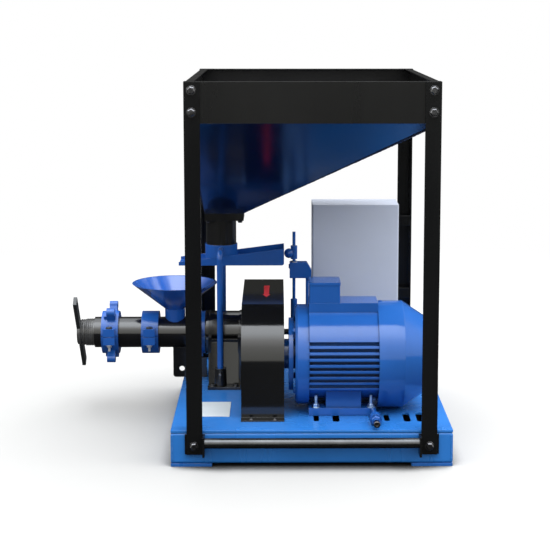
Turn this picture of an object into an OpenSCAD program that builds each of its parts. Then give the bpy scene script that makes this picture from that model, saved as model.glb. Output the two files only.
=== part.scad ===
// Feed extruder: a screw press for fodder grain with its hopper, vibrating feeder and belt drive,
// built on one welded base.
// X runs along the barrel, from the die on the left to the motor's fan on the right. Y runs from
// the motor's side at the front to the barrel's side at the back. The floor is at Z = 0, and the
// origin is the middle of the whole machine's outline on the floor.

/* [Base] */
// Length of the base
base_l = 713; // [700:1:780]
// Depth of the base
base_w = 797; // [785:1:850]
// Height of the top plate's upper face over the floor
base_h = 94; // [84:1:120]
// Thickness of the top plate
plate_t = 6; // [4:0.5:8]
// Width of the flanges of the base's channels
channel_w = 42; // [30:1:60]
// Thickness of the base's channels
channel_t = 5; // [3:0.5:8]
// Corner radius of the base's channels
channel_r = 7; // [5:1:10]
// Side of a square foot plate
foot_l = 104; // [80:1:130]
// Thickness of a foot plate
foot_t = 8; // [5:1:12]
// Width of a narrow slot in the top plate
slot_w = 14; // [10:1:15]
// Length of a narrow slot
slot_l = 76; // [60:1:90]
// Width of a wide slot in the top plate
wide_slot_w = 18; // [12:1:19]
// Length of a wide slot
wide_slot_l = 87; // [70:1:100]
// Distance of the slots' middles from the base's front edge
slot_dy = 123; // [110:1:140]

/* [Frame] */
// Length of the frame over its posts
frame_l = 631; // [620:1:650]
// Height of the frame
frame_h = 971; // [940:1:1100]
// Leg width of the angle posts
angle_w = 40; // [30:1:50]
// Thickness of the angle posts
angle_t = 4; // [3:0.5:6]
// Height of the posts' lower ends over the floor
post_lift = 34; // [20:1:44]
// Height of the rim panels
rim_h = 102; // [60:1:140]
// Thickness of the rim panels
rim_t = 3; // [2:0.5:4]
// Width of the lip folded in along the rim's top
rim_lip = 20; // [10:1:30]

/* [Hand bar] */
// Thickness of the bracket plates between the base and the posts
bracket_t = 6; // [4:0.5:8]
// How far the hand bar's brackets stand out from the base
bracket_reach = 37; // [36:1:60]
// Height of the bracket plates
bracket_h = 51; // [40:1:52]
// Width of the bracket plates
bracket_w = 51; // [45:1:60]
// Thickness of the leg that holds the hand bar
bracket_leg_t = 5.5; // [3:0.5:8]
// Diameter of the hand bar
hand_bar_d = 26.5; // [20:0.5:30]

/* [Hopper] */
// Thickness of the hopper's walls
hopper_t = 3; // [2:0.5:4]
// Length of the hopper's outlet
outlet_l = 109; // [95:1:130]
// Depth of the hopper's outlet
outlet_w = 108; // [95:1:130]
// Thickness of the flange under the outlet
outlet_flange_t = 21; // [10:1:30]
// Outer diameter of the outlet tube
tube_d = 85.4; // [70:0.2:87]
// Thickness of the outlet tube
tube_t = 3; // [2:0.5:5]
// Length of the outlet tube
tube_l = 86; // [78:1:90]
// Distance of the outlet tube's axis to the left of the base's middle
tube_dx = 246.5; // [240:0.5:250]

/* [Vibrating feeder] */
// Height of the tray's underside over the barrel's axis
tray_up = 202; // [196:1:212]
// Outer diameter of the collar round the outlet tube
collar_d = 92; // [91:0.5:93]
// Height of the collar
collar_h = 47; // [44:1:48]
// Length of the tray to the left of its pivot
tray_left = 119; // [100:1:125]
// Length of the tray to the right of its pivot
tray_right = 179; // [170:1:179]
// Width of the tray
tray_w = 100; // [98:1:110]
// Thickness of the tray's sheet
tray_t = 2; // [1:0.25:2.5]
// Height of the tray's side walls at the open end
tray_low = 10; // [9:0.5:14]
// Height of the tray's side walls at the closed end
tray_high = 48; // [46:1:52]
// Height of the tray's pivot over its underside
pivot_up = 16; // [15:0.5:17]
// Diameter of the tray's pivot pins
pivot_d = 8; // [5:0.5:8]
// Outer diameter of the pipes that hold the collar
support_d = 16.5; // [12:0.5:20]
// Bend radius of those pipes
support_bend = 16; // [12:1:20]
// Distance of the pipes from the barrel's axis
support_dy = 128; // [120:1:132]
// Outer diameter of the pipes' sockets
socket_d = 33; // [26:1:40]
// Height of the sockets
socket_h = 48; // [30:1:60]
// Distance of the feeder rod from the tube's axis
rod_dx = 207.5; // [207.5:0.5:212]
// Diameter of the feeder rod
rod_d = 9; // [7:0.5:11]
// Diameter of the rod's sleeves
sleeve_d = 19; // [15:0.5:22]
// Length of the rod's lower sleeve
sleeve_l = 74; // [60:1:80]
// Diameter of the ball that shakes the tray
ball_d = 28; // [26:0.5:28]
// Stroke of the feeder rod to each side of its middle
rod_stroke = 4; // [2:0.5:5]
// Width of the guide block
guide_l = 62; // [58:1:70]
// Height of the guide block
guide_h = 45; // [30:1:50]
// Depth of the guide block
guide_w = 31; // [24:1:40]
// Distance between the rod and the guide's post
guide_post_dx = 38; // [34:1:40]

/* [Extruder] */
// Height of the barrel's axis over the base plate
axis_up = 132; // [131:1:136]
// Distance of the barrel's axis behind the base's middle
axis_dy = 159.5; // [150:0.5:165]
// Outer diameter of the barrel
barrel_d = 88; // [86:0.5:90]
// Bore of the barrel
barrel_bore_d = 76; // [70:0.5:78]
// Length of the barrel
barrel_l = 320; // [315:1:340]
// Radial gap between the screw's flights and the barrel
flight_gap = 1.5; // [0.5:0.25:3]
// Core diameter of the screw
screw_core_d = 38; // [30:1:46]
// Pitch of the screw
screw_pitch = 62; // [50:1:80]
// Thickness of a flight
flight_t = 8; // [5:0.5:12]
// Length of the die plug outside the barrel
plug_out = 40; // [34:1:50]
// Length of the die plug inside the barrel
plug_in = 28; // [20:1:34]
// Diameter of the outlet through the die plug
die_bore_d = 16; // [10:0.5:18]
// Length of the handle bar on the die plug
handle_l = 282; // [240:1:300]
// Width of the handle bar
handle_w = 28; // [24:1:34]
// Thickness of the handle bar
handle_t = 10; // [6:1:14]
// Outer diameter of the clamp rings
clamp_d = 121.5; // [112:0.5:126]
// Width of the clamp rings
clamp_l = 48; // [40:1:50]
// Outer diameter of the bearing housing
housing_d = 126; // [120:1:130]
// Length of the bearing housing
housing_l = 105; // [100:1:110]
// Diameter of the main shaft in its bearings
shaft_d = 50; // [44:1:52]
// Distance of the funnel's axis from the barrel's right end
funnel_dx = 90.5; // [88:0.5:95]
// Rim diameter of the feed funnel
funnel_d = 242.6; // [220:0.2:250]
// Height of the funnel's cone
funnel_h = 74; // [60:1:74]
// Outer diameter of the funnel's spout
spout_d = 57.5; // [50:0.5:60]
// Thickness of the funnel's sheet
funnel_t = 2; // [1.5:0.25:3]

/* [Belt drive] */
// Width of the belt guard
guard_w = 112; // [105:1:113]
// Thickness of the guard's sheet
guard_t = 3; // [2:0.5:4]
// Distance of the guard's left side from the base's middle
guard_dx = 181; // [180:1:184]
// Distance of the guard's front from the motor's axis
guard_reach = 121; // [119:1:124]
// Radius of the guard's front bend
guard_front_r = 150; // [145:1:154]
// Radius of the guard round the driven pulley
guard_back_r = 151; // [148:1:152]
// Diameter of the driven pulley
driven_d = 224; // [200:2:232]
// Diameter of the motor's pulley
driver_d = 120; // [90:2:130]
// Width of the pulleys
pulley_w = 70; // [50:1:76]
// Thickness of the belt
belt_t = 8; // [5:0.5:9]
// Diameter of the shaft's end that drives the feeder
stub_d = 17; // [14:0.5:20]
// Diameter of the eccentric disc
eccentric_d = 24; // [24:1:30]

/* [Motor] */
// Clearance of the fan cover over the base plate
cowl_clear = 2; // [2:0.5:8]
// Distance of the motor's axis in front of the base's middle
motor_dy = 167.5; // [165:0.5:172]
// Length of the motor's finned body
body_l = 180; // [170:1:185]
// Diameter of the finned body
body_d = 276; // [268:1:278]
// Depth of the cooling grooves
fin_depth = 15; // [8:1:18]
// Pitch of the cooling fins
fin_pitch = 16; // [14:0.5:16.5]
// Width of a cooling groove
groove_w = 9.5; // [6:0.5:10.5]
// Rise of the terminal box's seat over the top of the finned body
seat_rise = 11; // [8:1:18]
// Length of the front end shield
shield_l = 36; // [30:1:40]
// How far the front end shield lies inside the finned body's outline
shield_in = 6; // [3:1:13]
// How far the fan cover stands out over the finned body
cowl_out = 4; // [3:0.5:5]
// Thickness of the fan cover
cowl_t = 2.5; // [1.5:0.25:3]
// Length of the fan cover's straight part
cowl_l = 67; // [60:1:75]
// Length of the fan cover's cone
cowl_cone_l = 71; // [60:1:75]
// Diameter of the fan cover's back face
cowl_back_d = 190; // [180:1:200]
// Number of fan blades
blades = 8; // [5:1:12]
// Diameter of the motor's shaft
motor_shaft_d = 38; // [28:1:42]
// Thickness of the motor's feet
motor_foot_t = 20; // [12:1:24]

/* [Control cabinet] */
// Width of the control cabinet
cabinet_l = 251; // [200:1:260]
// Depth of the control cabinet
cabinet_w = 133; // [100:1:150]
// Height of the control cabinet
cabinet_h = 350; // [300:1:400]
// Height of the control cabinet's top over the floor
cabinet_top = 584; // [520:1:620]

/* [Hidden] */
$fn = 64;
// Running gap round shafts, pins and rods
run_gap = 0.3;
// Gap of a clamped or welded seat between curved faces
seat_gap = 0.2;

// Frame of the whole machine, measured from the middle of its outline
housing_gap = 4;
die_reach = guard_dx + housing_gap + housing_l + barrel_l + plug_out + handle_t;
base_cx = (die_reach - base_l / 2) / 2;
frame_w = base_w + 2 * (bracket_t + angle_t);
base_cy = (base_w / 2 + bracket_reach - frame_w / 2) / 2;
base_x0 = base_cx - base_l / 2;
base_y0 = base_cy - base_w / 2;
frame_x0 = base_cx - frame_l / 2;
frame_y0 = base_cy - frame_w / 2;
// The rim and the hopper fit inside the posts' legs
rim_x0 = frame_x0 + angle_t;
rim_y0 = frame_y0 + angle_t;
rim_l = frame_l - 2 * angle_t;
rim_w = frame_w - 2 * angle_t;
rim_z0 = frame_h - rim_h;
channel_h = base_h - plate_t - foot_t;

// Places along the barrel's axis
axis_y = base_cy + axis_dy;
axis_z = base_h + axis_up;
guard_x0 = base_cx - guard_dx;
guard_x1 = guard_x0 + guard_w;
housing_x1 = guard_x0 - housing_gap;
housing_x0 = housing_x1 - housing_l;
barrel_x0 = housing_x0 - barrel_l;
plug_x0 = barrel_x0 - plug_out;
handle_x0 = plug_x0 - handle_t;
funnel_x = housing_x0 - funnel_dx;
clamp_xs = [barrel_x0 + 22, barrel_x0 + 136, housing_x0 - clamp_l - 3];
pulley_x0 = (guard_x0 + guard_x1 - pulley_w) / 2;

// Places up from the barrel to the hopper
tube_x = base_cx - tube_dx;
outlet_x0 = tube_x - 44;
outlet_y0 = axis_y - outlet_w / 2;
tray_z0 = axis_z + tray_up;
pivot_z = tray_z0 + pivot_up;
collar_z0 = tray_z0 + 9;
collar_z1 = collar_z0 + collar_h;
tube_z0 = collar_z1 - 14;
tube_z1 = tube_z0 + tube_l;
outlet_z = tube_z1 + outlet_flange_t;
hopper_h = rim_z0 - outlet_z;
tray_x0 = tube_x - tray_left;
tray_x1 = tube_x + tray_right;
arm_z = collar_z1 - 10;

// The feeder's rod, guide and eccentric
rod_x = tube_x + rod_dx;
ball_x = tray_x1 + 0.5 + ball_d / 2;
ball_z = tray_z0 + 27;
guide_z1 = tray_z0 + 2;
guide_z0 = guide_z1 - guide_h;
eye_r = eccentric_d / 2 + 2 * rod_stroke + 1;
eye_t = 16;

// The motor, whose shields, fan cover and height over the base follow the finned body
shield_d = body_d - 2 * shield_in;
cowl_d = body_d + 2 * cowl_out;
motor_up = cowl_d / 2 + cowl_clear;
seat_up = body_d / 2 + seat_rise;
fan_d = cowl_d - 2 * cowl_t - 43;
fan_gap = 12;
fan_l = 42;
motor_y = base_cy - motor_dy;
motor_z = base_h + motor_up;
shield_x0 = guard_x1 + 29;
body_x0 = shield_x0 + shield_l;
body_x1 = body_x0 + body_l;
cowl_x1 = body_x1 + cowl_l + cowl_cone_l;
rear_shield_t = 14;
stud_dx = 72;
stud_dy = 81;
motor_foot_l = 176;
motor_foot_y = 95;
core_d = body_d - 2 * fin_depth - 10;
// The terminal box's seat lies off the motor's axis, towards the front
seat_front = 0.225 * body_d;
seat_w = 0.345 * body_d;
motor_mid_x = body_x0 + 90;
tension_x = motor_mid_x + 78;

enamel = [0.06, 0.25, 0.72];
black = [0.03, 0.03, 0.03];
steel = [0.55, 0.56, 0.58];
light_grey = [0.62, 0.65, 0.69];

// ---------------------------------------------------------------- shared forms

// A cylinder along +X, from x
module x_cylinder(x, l, d, y = 0, z = 0) {
    translate([x, y, z])
        rotate([0, 90, 0])
            cylinder(h = l, d = d);
}

// A cone or cylinder along +X on the barrel's axis
module on_axis(x, l, d, d2 = undef) {
    translate([x, axis_y, axis_z])
        rotate([0, 90, 0])
            cylinder(h = l, d1 = d, d2 = is_undef(d2) ? d : d2);
}

// The same on the motor's axis
module on_motor(x, l, d, d2 = undef) {
    translate([x, motor_y, motor_z])
        rotate([0, 90, 0])
            cylinder(h = l, d1 = d, d2 = is_undef(d2) ? d : d2);
}

// An upright cylinder
module upright(x, y, z, h, d) {
    translate([x, y, z])
        cylinder(h = h, d = d);
}

// A box with its upright edges rounded
module round_box(size, r) {
    linear_extrude(size[2])
        union() {
            translate([r, 0])
                square([size[0] - 2 * r, size[1]]);
            translate([0, r])
                square([size[0], size[1] - 2 * r]);
            for (x = [r, size[0] - r], y = [r, size[1] - r])
                translate([x, y])
                    circle(r);
        }
}

// A YZ outline drawn as [y, z], made l long towards +X from x
module extrude_x(x, l) {
    translate([x, 0, 0])
        rotate([90, 0, 90])
            linear_extrude(l)
                children();
}

// An XZ outline drawn as [x, z], made l deep towards +Y from y
module extrude_y(y, l) {
    translate([0, y + l, 0])
        rotate([90, 0, 0])
            linear_extrude(l)
                children();
}

// Mitres both ends of a piece that runs l along X: it cuts w deep at 45 degrees
module mitred(l, w, h) {
    intersection() {
        children();
        linear_extrude(h)
            polygon([[0, 0], [l, 0], [l - w, w], [w, w]]);
    }
}

// Puts a piece drawn along the front edge of a frame onto its back edge
module to_back(l, w) {
    translate([l, w, 0])
        rotate([0, 0, 180])
            children();
}

// Puts a piece drawn along the front edge of a frame w deep onto its left edge
module to_left(w) {
    translate([0, w, 0])
        rotate([0, 0, -90])
            children();
}

// ---------------------------------------------------------------- base

// Outline of a base channel, web on the left, as [depth, height]
module channel_outline() {
    difference() {
        union() {
            translate([channel_r, 0])
                square([channel_w - channel_r, channel_h]);
            translate([0, channel_r])
                square([channel_w, channel_h - 2 * channel_r]);
            for (z = [channel_r, channel_h - channel_r])
                translate([channel_r, z])
                    circle(channel_r);
        }
        translate([channel_t, channel_t])
            square([channel_w, channel_h - 2 * channel_t]);
    }
}

// One channel along X, its web towards the front, both ends mitred
module channel(l) {
    mitred(l, channel_w, channel_h)
        extrude_x(0, l)
            channel_outline();
}

module base_long_rails() {
    color(enamel)
        translate([base_x0, base_y0, foot_t]) {
            channel(base_l);
            to_back(base_l, base_w)
                channel(base_l);
        }
}

module base_side_rails() {
    color(enamel)
        translate([base_x0, base_y0, foot_t]) {
            to_left(base_w)
                channel(base_w);
            to_back(base_l, base_w)
                to_left(base_w)
                    channel(base_w);
        }
}

module base_feet() {
    color(enamel)
        for (x = [base_x0, base_x0 + base_l - foot_l])
            for (y = [base_y0, base_y0 + base_w - foot_l])
                translate([x, y, 0])
                    cube([foot_l, foot_l, foot_t]);
}

// A slot with round ends along Y, its middle at x and y
module plate_slot(x, y, w, l) {
    translate([x, y, base_h - plate_t - 1])
        linear_extrude(plate_t + 2)
            union() {
                square([w, l - w], center = true);
                for (end = [-1, 1])
                    translate([0, end * (l - w) / 2])
                        circle(d = w);
            }
}

module base_plate() {
    slot_y = base_y0 + slot_dy;
    color(enamel)
        difference() {
            translate([base_x0, base_y0, base_h - plate_t])
                cube([base_l, base_w, plate_t]);
            // Slots for the motor's studs, front and back
            for (side = [-1, 1])
                for (y = [slot_y, motor_y + stud_dy])
                    plate_slot(motor_mid_x + side * stud_dx, y, slot_w, slot_l);
            // Slots for other motor sizes
            plate_slot(motor_mid_x - 21, slot_y, wide_slot_w, wide_slot_l);
            plate_slot(motor_mid_x + 111, slot_y, slot_w, slot_l);
            plate_slot(motor_mid_x + 163, slot_y, wide_slot_w, wide_slot_l);
            plate_slot(motor_mid_x + 197, slot_y, wide_slot_w, wide_slot_l);
        }
}

// ---------------------------------------------------------------- frame

// Front left angle post. Its side leg stands on the base plate, and its front leg runs on down
// over the base's face.
module angle_post() {
    translate([0, 0, post_lift])
        cube([angle_w, angle_t, frame_h - post_lift]);
    translate([0, 0, base_h])
        cube([angle_t, angle_w, frame_h - base_h]);
}

module frame_posts() {
    color(black)
        translate([base_cx, base_cy, 0])
            for (sx = [0, 1], sy = [0, 1])
                mirror([sx, 0, 0])
                    mirror([0, sy, 0])
                        translate([-frame_l / 2, -frame_w / 2, 0])
                            angle_post();
}

// One panel of the rim along X: upright sheet with its top lip folded inwards, ends mitred
module rim_panel(l) {
    mitred(l, rim_lip, rim_h)
        union() {
            cube([l, rim_t, rim_h]);
            translate([0, 0, rim_h - rim_t])
                cube([l, rim_lip, rim_t]);
        }
}

module rim_long_panels() {
    color(black)
        translate([rim_x0, rim_y0, rim_z0]) {
            rim_panel(rim_l);
            to_back(rim_l, rim_w)
                rim_panel(rim_l);
        }
}

module rim_side_panels() {
    color(black)
        translate([rim_x0, rim_y0, rim_z0]) {
            to_left(rim_w)
                rim_panel(rim_w);
            to_back(rim_l, rim_w)
                to_left(rim_w)
                    rim_panel(rim_w);
        }
}

// Plates between the base and the posts. The front pair carry the hand bar.
module post_brackets() {
    x0 = frame_x0 - 5;
    color(black)
        for (side = [0, 1])
            translate([base_cx, 0, 0])
                mirror([side, 0, 0])
                    translate([x0 - base_cx, 0, post_lift]) {
                        translate([0, base_y0 - bracket_t, 0])
                            cube([bracket_w, bracket_t, bracket_h]);
                        translate([bracket_w - bracket_leg_t, base_y0 - bracket_reach, 0])
                            cube([bracket_leg_t, bracket_reach, bracket_h]);
                        translate([0, base_y0 + base_w, 0])
                            cube([bracket_w, bracket_t, bracket_h]);
                    }
}

module hand_bar() {
    inside = frame_l / 2 + 5 - bracket_w;
    color(black)
        x_cylinder(base_cx - inside, 2 * inside, hand_bar_d, base_y0 - 20, post_lift + 32.5);
}

// ---------------------------------------------------------------- hopper

// Slope of each wall gives the inner corners: left, right, front and back
function level_t(run) = hopper_t * sqrt(run * run + hopper_h * hopper_h) / hopper_h;
run_left = outlet_x0 - rim_x0;
run_right = rim_x0 + rim_l - outlet_x0 - outlet_l;
run_front = outlet_y0 - rim_y0;
run_back = rim_y0 + rim_w - outlet_y0 - outlet_w;

// Corners of a rectangle, anticlockwise from its front left
function corners(x0, y0, x1, y1, z) = [[x0, y0, z], [x1, y0, z], [x1, y1, z], [x0, y1, z]];

// The same rectangle with each side brought in by its wall's level thickness
function inner(x0, y0, x1, y1, z) = corners(
    x0 + level_t(run_left), y0 + level_t(run_front),
    x1 - level_t(run_right), y1 - level_t(run_back), z);

top_out = corners(rim_x0, rim_y0, rim_x0 + rim_l, rim_y0 + rim_w, rim_z0);
top_in = inner(rim_x0, rim_y0, rim_x0 + rim_l, rim_y0 + rim_w, rim_z0);
low_out = corners(outlet_x0, outlet_y0, outlet_x0 + outlet_l, outlet_y0 + outlet_w, outlet_z);
low_in = inner(outlet_x0, outlet_y0, outlet_x0 + outlet_l, outlet_y0 + outlet_w, outlet_z);

// One wall between corners i and j, meeting its neighbours in a mitre down each edge
module hopper_wall(i, j) {
    points = [
        low_out[i], low_out[j], low_in[j], low_in[i],
        top_out[i], top_out[j], top_in[j], top_in[i],
    ];
    faces = [[0, 1, 2, 3], [4, 5, 1, 0], [7, 6, 5, 4], [5, 6, 2, 1], [6, 7, 3, 2], [7, 4, 0, 3]];
    color(enamel)
        polyhedron(points, faces);
}

module hopper_front_wall() {
    hopper_wall(0, 1);
}

module hopper_right_wall() {
    hopper_wall(1, 2);
}

module hopper_back_wall() {
    hopper_wall(2, 3);
}

module hopper_left_wall() {
    hopper_wall(3, 0);
}

module outlet_flange() {
    color(black)
        difference() {
            translate([outlet_x0, outlet_y0, tube_z1])
                cube([outlet_l, outlet_w, outlet_flange_t]);
            upright(tube_x, axis_y, tube_z1 - 1, outlet_flange_t + 2, tube_d - 2 * tube_t);
        }
}

module outlet_tube() {
    color(black)
        difference() {
            upright(tube_x, axis_y, tube_z0, tube_l, tube_d);
            upright(tube_x, axis_y, tube_z0 - 1, tube_l + 2, tube_d - 2 * tube_t);
        }
}

// ---------------------------------------------------------------- vibrating feeder

// Collar round the outlet tube, with the two pins that the tray rocks on
module outlet_collar() {
    pin_l = tray_w + 8;
    color(enamel)
        difference() {
            union() {
                upright(tube_x, axis_y, collar_z0, collar_h, collar_d);
                translate([tube_x, axis_y - pin_l / 2, pivot_z])
                    rotate([-90, 0, 0])
                        cylinder(h = pin_l, d = pivot_d);
            }
            upright(tube_x, axis_y, collar_z0 - 1, collar_h + 2, tube_d + 2 * seat_gap);
        }
}

// Side outline of the tray, brought in by inset where the sheet is hollow
module tray_outline(inset) {
    bend_r = 7;
    x1 = tray_x1 - inset;
    z0 = tray_z0 + inset;
    polygon([
        [tray_x0 - inset, z0],
        [x1 - bend_r, z0],
        [x1 - bend_r, z0 + bend_r],
        [x1, z0 + bend_r],
        [x1, tray_z0 + tray_high + inset],
        [tray_x0 - inset, tray_z0 + tray_low + inset],
    ]);
    translate([x1 - bend_r, z0 + bend_r])
        circle(bend_r);
}

// Open channel that carries the grain to the left, over the funnel
module feed_tray() {
    color(enamel)
        difference() {
            extrude_y(axis_y - tray_w / 2, tray_w)
                tray_outline(0);
            extrude_y(axis_y - tray_w / 2 + tray_t, tray_w - 2 * tray_t)
                tray_outline(tray_t);
            translate([tube_x, axis_y - tray_w, pivot_z])
                rotate([-90, 0, 0])
                    cylinder(h = 2 * tray_w, d = pivot_d + 2 * run_gap);
        }
}

// One bent pipe from the stand's flange up and across to the collar
module tray_support() {
    top = arm_z - support_bend;
    difference() {
        union() {
            upright(tube_x, axis_y - support_dy, base_h + 8, top - base_h - 8, support_d);
            translate([tube_x, axis_y - support_dy + support_bend, top])
                rotate([90, 0, -90])
                    rotate_extrude(angle = 90)
                        translate([support_bend, 0])
                            circle(d = support_d);
            translate([tube_x, axis_y - support_dy + support_bend, arm_z])
                rotate([-90, 0, 0])
                    cylinder(h = support_dy - support_bend - collar_d / 4, d = support_d);
        }
        upright(tube_x, axis_y, collar_z0, 2 * collar_h, collar_d + 2 * seat_gap);
    }
}

module tray_supports() {
    color(enamel) {
        tray_support();
        translate([0, 2 * axis_y, 0])
            mirror([0, 1, 0])
                tray_support();
    }
}

module support_sockets() {
    color(black)
        for (y = [axis_y - support_dy, axis_y + support_dy])
            difference() {
                translate([tube_x, y, base_h + 8])
                    cylinder(h = socket_h, d1 = socket_d + 2, d2 = socket_d - 2);
                upright(tube_x, y, base_h, socket_h + 10, support_d + 2 * seat_gap);
            }
}

// Block that the rod slides in, on a post behind the motor
module rod_guide() {
    x0 = rod_x - 12.5;
    y0 = axis_y - guide_w / 2;
    chamfer = [13, 22];
    color(enamel)
        difference() {
            union() {
                extrude_y(y0, guide_w)
                    polygon([
                        [x0, guide_z0],
                        [x0 + guide_l, guide_z0],
                        [x0 + guide_l, guide_z1 - chamfer[1]],
                        [x0 + guide_l - chamfer[0], guide_z1],
                        [x0, guide_z1],
                    ]);
                upright(rod_x + guide_post_dx, axis_y, base_h, guide_z0 - base_h + 5, rod_d);
                upright(rod_x + guide_post_dx, axis_y, base_h, 6, 34);
            }
            upright(rod_x, axis_y, guide_z0 - 1, guide_h + 2, rod_d + 2 * run_gap);
        }
}

// Rod with the eye round the eccentric, two sleeves and the ball at the tray's end
module feeder_rod() {
    top = collar_z1 + 33;
    color(enamel)
        difference() {
            union() {
                upright(rod_x, axis_y, axis_z + eye_r, top - axis_z - eye_r, rod_d);
                upright(rod_x, axis_y, guide_z1 + rod_stroke + 5, 38, sleeve_d);
                upright(rod_x, axis_y, axis_z + eye_r + 1, sleeve_l, sleeve_d);
                translate([ball_x, axis_y, ball_z])
                    rotate([0, 90, 0])
                        sphere(d = ball_d);
                on_axis(rod_x - eye_t / 2, eye_t, 2 * eye_r + 14);
            }
            on_axis(rod_x - eye_t, 2 * eye_t, 2 * eye_r);
        }
}

// ---------------------------------------------------------------- extruder

module barrel() {
    color(black)
        difference() {
            on_axis(barrel_x0, barrel_l, barrel_d);
            on_axis(barrel_x0 - 1, barrel_l + 2, barrel_bore_d);
            // Feed throat under the funnel
            upright(funnel_x, axis_y, axis_z, barrel_d, spout_d - 2 * funnel_t);
        }
}

// A lug for a clamp bolt, at an angle round the ring, seen from the die end
module clamp_lug(x, angle) {
    lug = [33, 19, 13];
    translate([x + clamp_l / 2, axis_y, axis_z])
        rotate([angle, 0, 0])
            translate([-lug[0] / 2, -lug[1] / 2, clamp_d / 2 - 4])
                cube(lug);
}

// Split ring round the barrel: two halves drawn together by a bolt at the front and the back
module clamp_ring(x, extra) {
    ear = [33, 20, 47];
    split = 1.6;
    difference() {
        union() {
            on_axis(x, clamp_l, clamp_d);
            for (side = [-1, 1])
                translate([
                    x + (clamp_l - ear[0]) / 2,
                    axis_y + side * (clamp_d / 2 + 2) - ear[1] / 2,
                    axis_z - ear[2] / 2,
                ])
                    cube(ear);
            for (angle = extra)
                clamp_lug(x, angle);
        }
        on_axis(x - 1, clamp_l + 2, barrel_d + 2 * seat_gap);
        translate([x - 1, axis_y - clamp_d, axis_z - split / 2])
            cube([clamp_l + 2, 2 * clamp_d, split]);
        // Bolt holes through the ears
        for (side = [-1, 1])
            upright(x + clamp_l / 2, axis_y + side * (clamp_d / 2 + 4), axis_z - 30, 60, 10);
    }
}

module barrel_clamps() {
    color(enamel) {
        clamp_ring(clamp_xs[0], [32, -32, 180]);
        clamp_ring(clamp_xs[1], []);
        clamp_ring(clamp_xs[2], [180]);
    }
}

// Threaded plug that holds the die, with the outlet through its middle
module die_plug() {
    plug_d = barrel_bore_d - 0.8;
    shoulder_d = plug_d - 4;
    color(black)
        difference() {
            union() {
                on_axis(barrel_x0 - 26, plug_in + 26, plug_d);
                on_axis(plug_x0 + 3.5, plug_out - 26, shoulder_d);
                on_axis(plug_x0, 3.5, shoulder_d - 7, shoulder_d);
            }
            on_axis(plug_x0 - 1, plug_in + plug_out + 2, die_bore_d);
        }
}

// Flat bar across the plug's face, to turn it by hand
handle_tilt = 39.75;
module die_handle() {
    color(black)
        difference() {
            translate([handle_x0, axis_y, axis_z])
                rotate([handle_tilt, 0, 0])
                    translate([0, -handle_w / 2, -handle_l / 2])
                        cube([handle_t, handle_w, handle_l]);
            on_axis(handle_x0 - 1, handle_t + 2, die_bore_d);
        }
}

// Funnel on the barrel's feed throat, its spout cut to sit on the barrel
module feed_funnel() {
    r = funnel_d / 2;
    s = spout_d / 2;
    cone_z = 70;
    color(enamel)
        difference() {
            translate([funnel_x, axis_y, axis_z])
                rotate_extrude()
                    polygon([
                        [s - funnel_t, 20],
                        [s, 20],
                        [s, cone_z],
                        [r, cone_z + funnel_h],
                        [r - 2.5 * funnel_t, cone_z + funnel_h],
                        [s - funnel_t, cone_z + 1.5 * funnel_t],
                    ]);
            on_axis(barrel_x0, barrel_l, barrel_d + 2 * seat_gap);
        }
}

// Screw with one helical flight, from the die to the main shaft
screw_x0 = barrel_x0 + plug_in + 8;
screw_x1 = housing_x0 - 15;
module extruder_screw() {
    l = screw_x1 - screw_x0;
    tip_r = barrel_bore_d / 2 - flight_gap;
    // Half angles that the flight takes up round the section, at its tip and its root
    tip_a = 180 * flight_t / screw_pitch;
    root_a = 1.6 * tip_a;
    color(steel)
        translate([screw_x0, axis_y, axis_z])
            rotate([0, 90, 0])
                linear_extrude(l, twist = 360 * l / screw_pitch, slices = ceil(18 * l / screw_pitch), $fn = 24)
                    union() {
                        circle(d = screw_core_d, $fn = 20);
                        // The flight's section widens towards its root
                        polygon([
                            for (a = [-1, 0, 1]) tip_r * [cos(tip_a * a), sin(tip_a * a)],
                            for (a = [1, -1]) screw_core_d / 2.2 * [cos(root_a * a), sin(root_a * a)],
                        ]);
                    }
}

module bearing_housing() {
    color(black)
        difference() {
            union() {
                on_axis(housing_x0 + 10, housing_l - 20, housing_d - 4);
                on_axis(housing_x0, 10, housing_d);
                on_axis(housing_x1 - 10, 10, housing_d);
            }
            on_axis(housing_x0 - 1, housing_l + 2, shaft_d + 2 * run_gap);
        }
}

// Welded box under the bearing housing: flange, two cradle plates and the panels between
module barrel_stand() {
    t = 8;
    l = 91;
    x0 = housing_x0 + 9;
    wall_y0 = axis_y - 106;
    wall_w = 212;
    color(black)
        difference() {
            union() {
                translate([x0, axis_y - 155, base_h])
                    cube([l, 310, t]);
                for (x = [x0, x0 + l - t])
                    translate([x, wall_y0, base_h + t])
                        cube([t, wall_w, axis_up]);
                for (y = [wall_y0 + 6, wall_y0 + wall_w - 6 - t])
                    translate([x0 + t, y, base_h + t])
                        cube([l - 2 * t, t, axis_up - t]);
            }
            on_axis(housing_x0 - 1, housing_l + 2, housing_d + 2 * seat_gap);
        }
}

// Upright plate that carries the barrel in front of the last clamp
module barrel_bracket() {
    t = 8;
    x0 = housing_x0 - 97;
    step_x = clamp_xs[2] - 4;
    corner_r = 8;
    top = axis_z - barrel_d / 2 - seat_gap;
    low_top = axis_z - clamp_d / 2 - 14;
    color(black)
        difference() {
            union() {
                extrude_y(axis_y - t / 2, t)
                    polygon([
                        [x0 + corner_r, base_h],
                        [housing_x0, base_h],
                        [housing_x0, low_top],
                        [step_x, low_top],
                        [step_x, top],
                        [x0, top],
                        [x0, base_h + corner_r],
                        [x0 + corner_r, base_h + corner_r],
                    ]);
                translate([x0 + corner_r, axis_y + t / 2, base_h + corner_r])
                    rotate([90, 0, 0])
                        cylinder(h = t, r = corner_r);
            }
            translate([x0 + 25, axis_y + t, base_h + 24.5])
                rotate([90, 0, 0])
                    cylinder(h = 2 * t, d = 16);
        }
}

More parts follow.
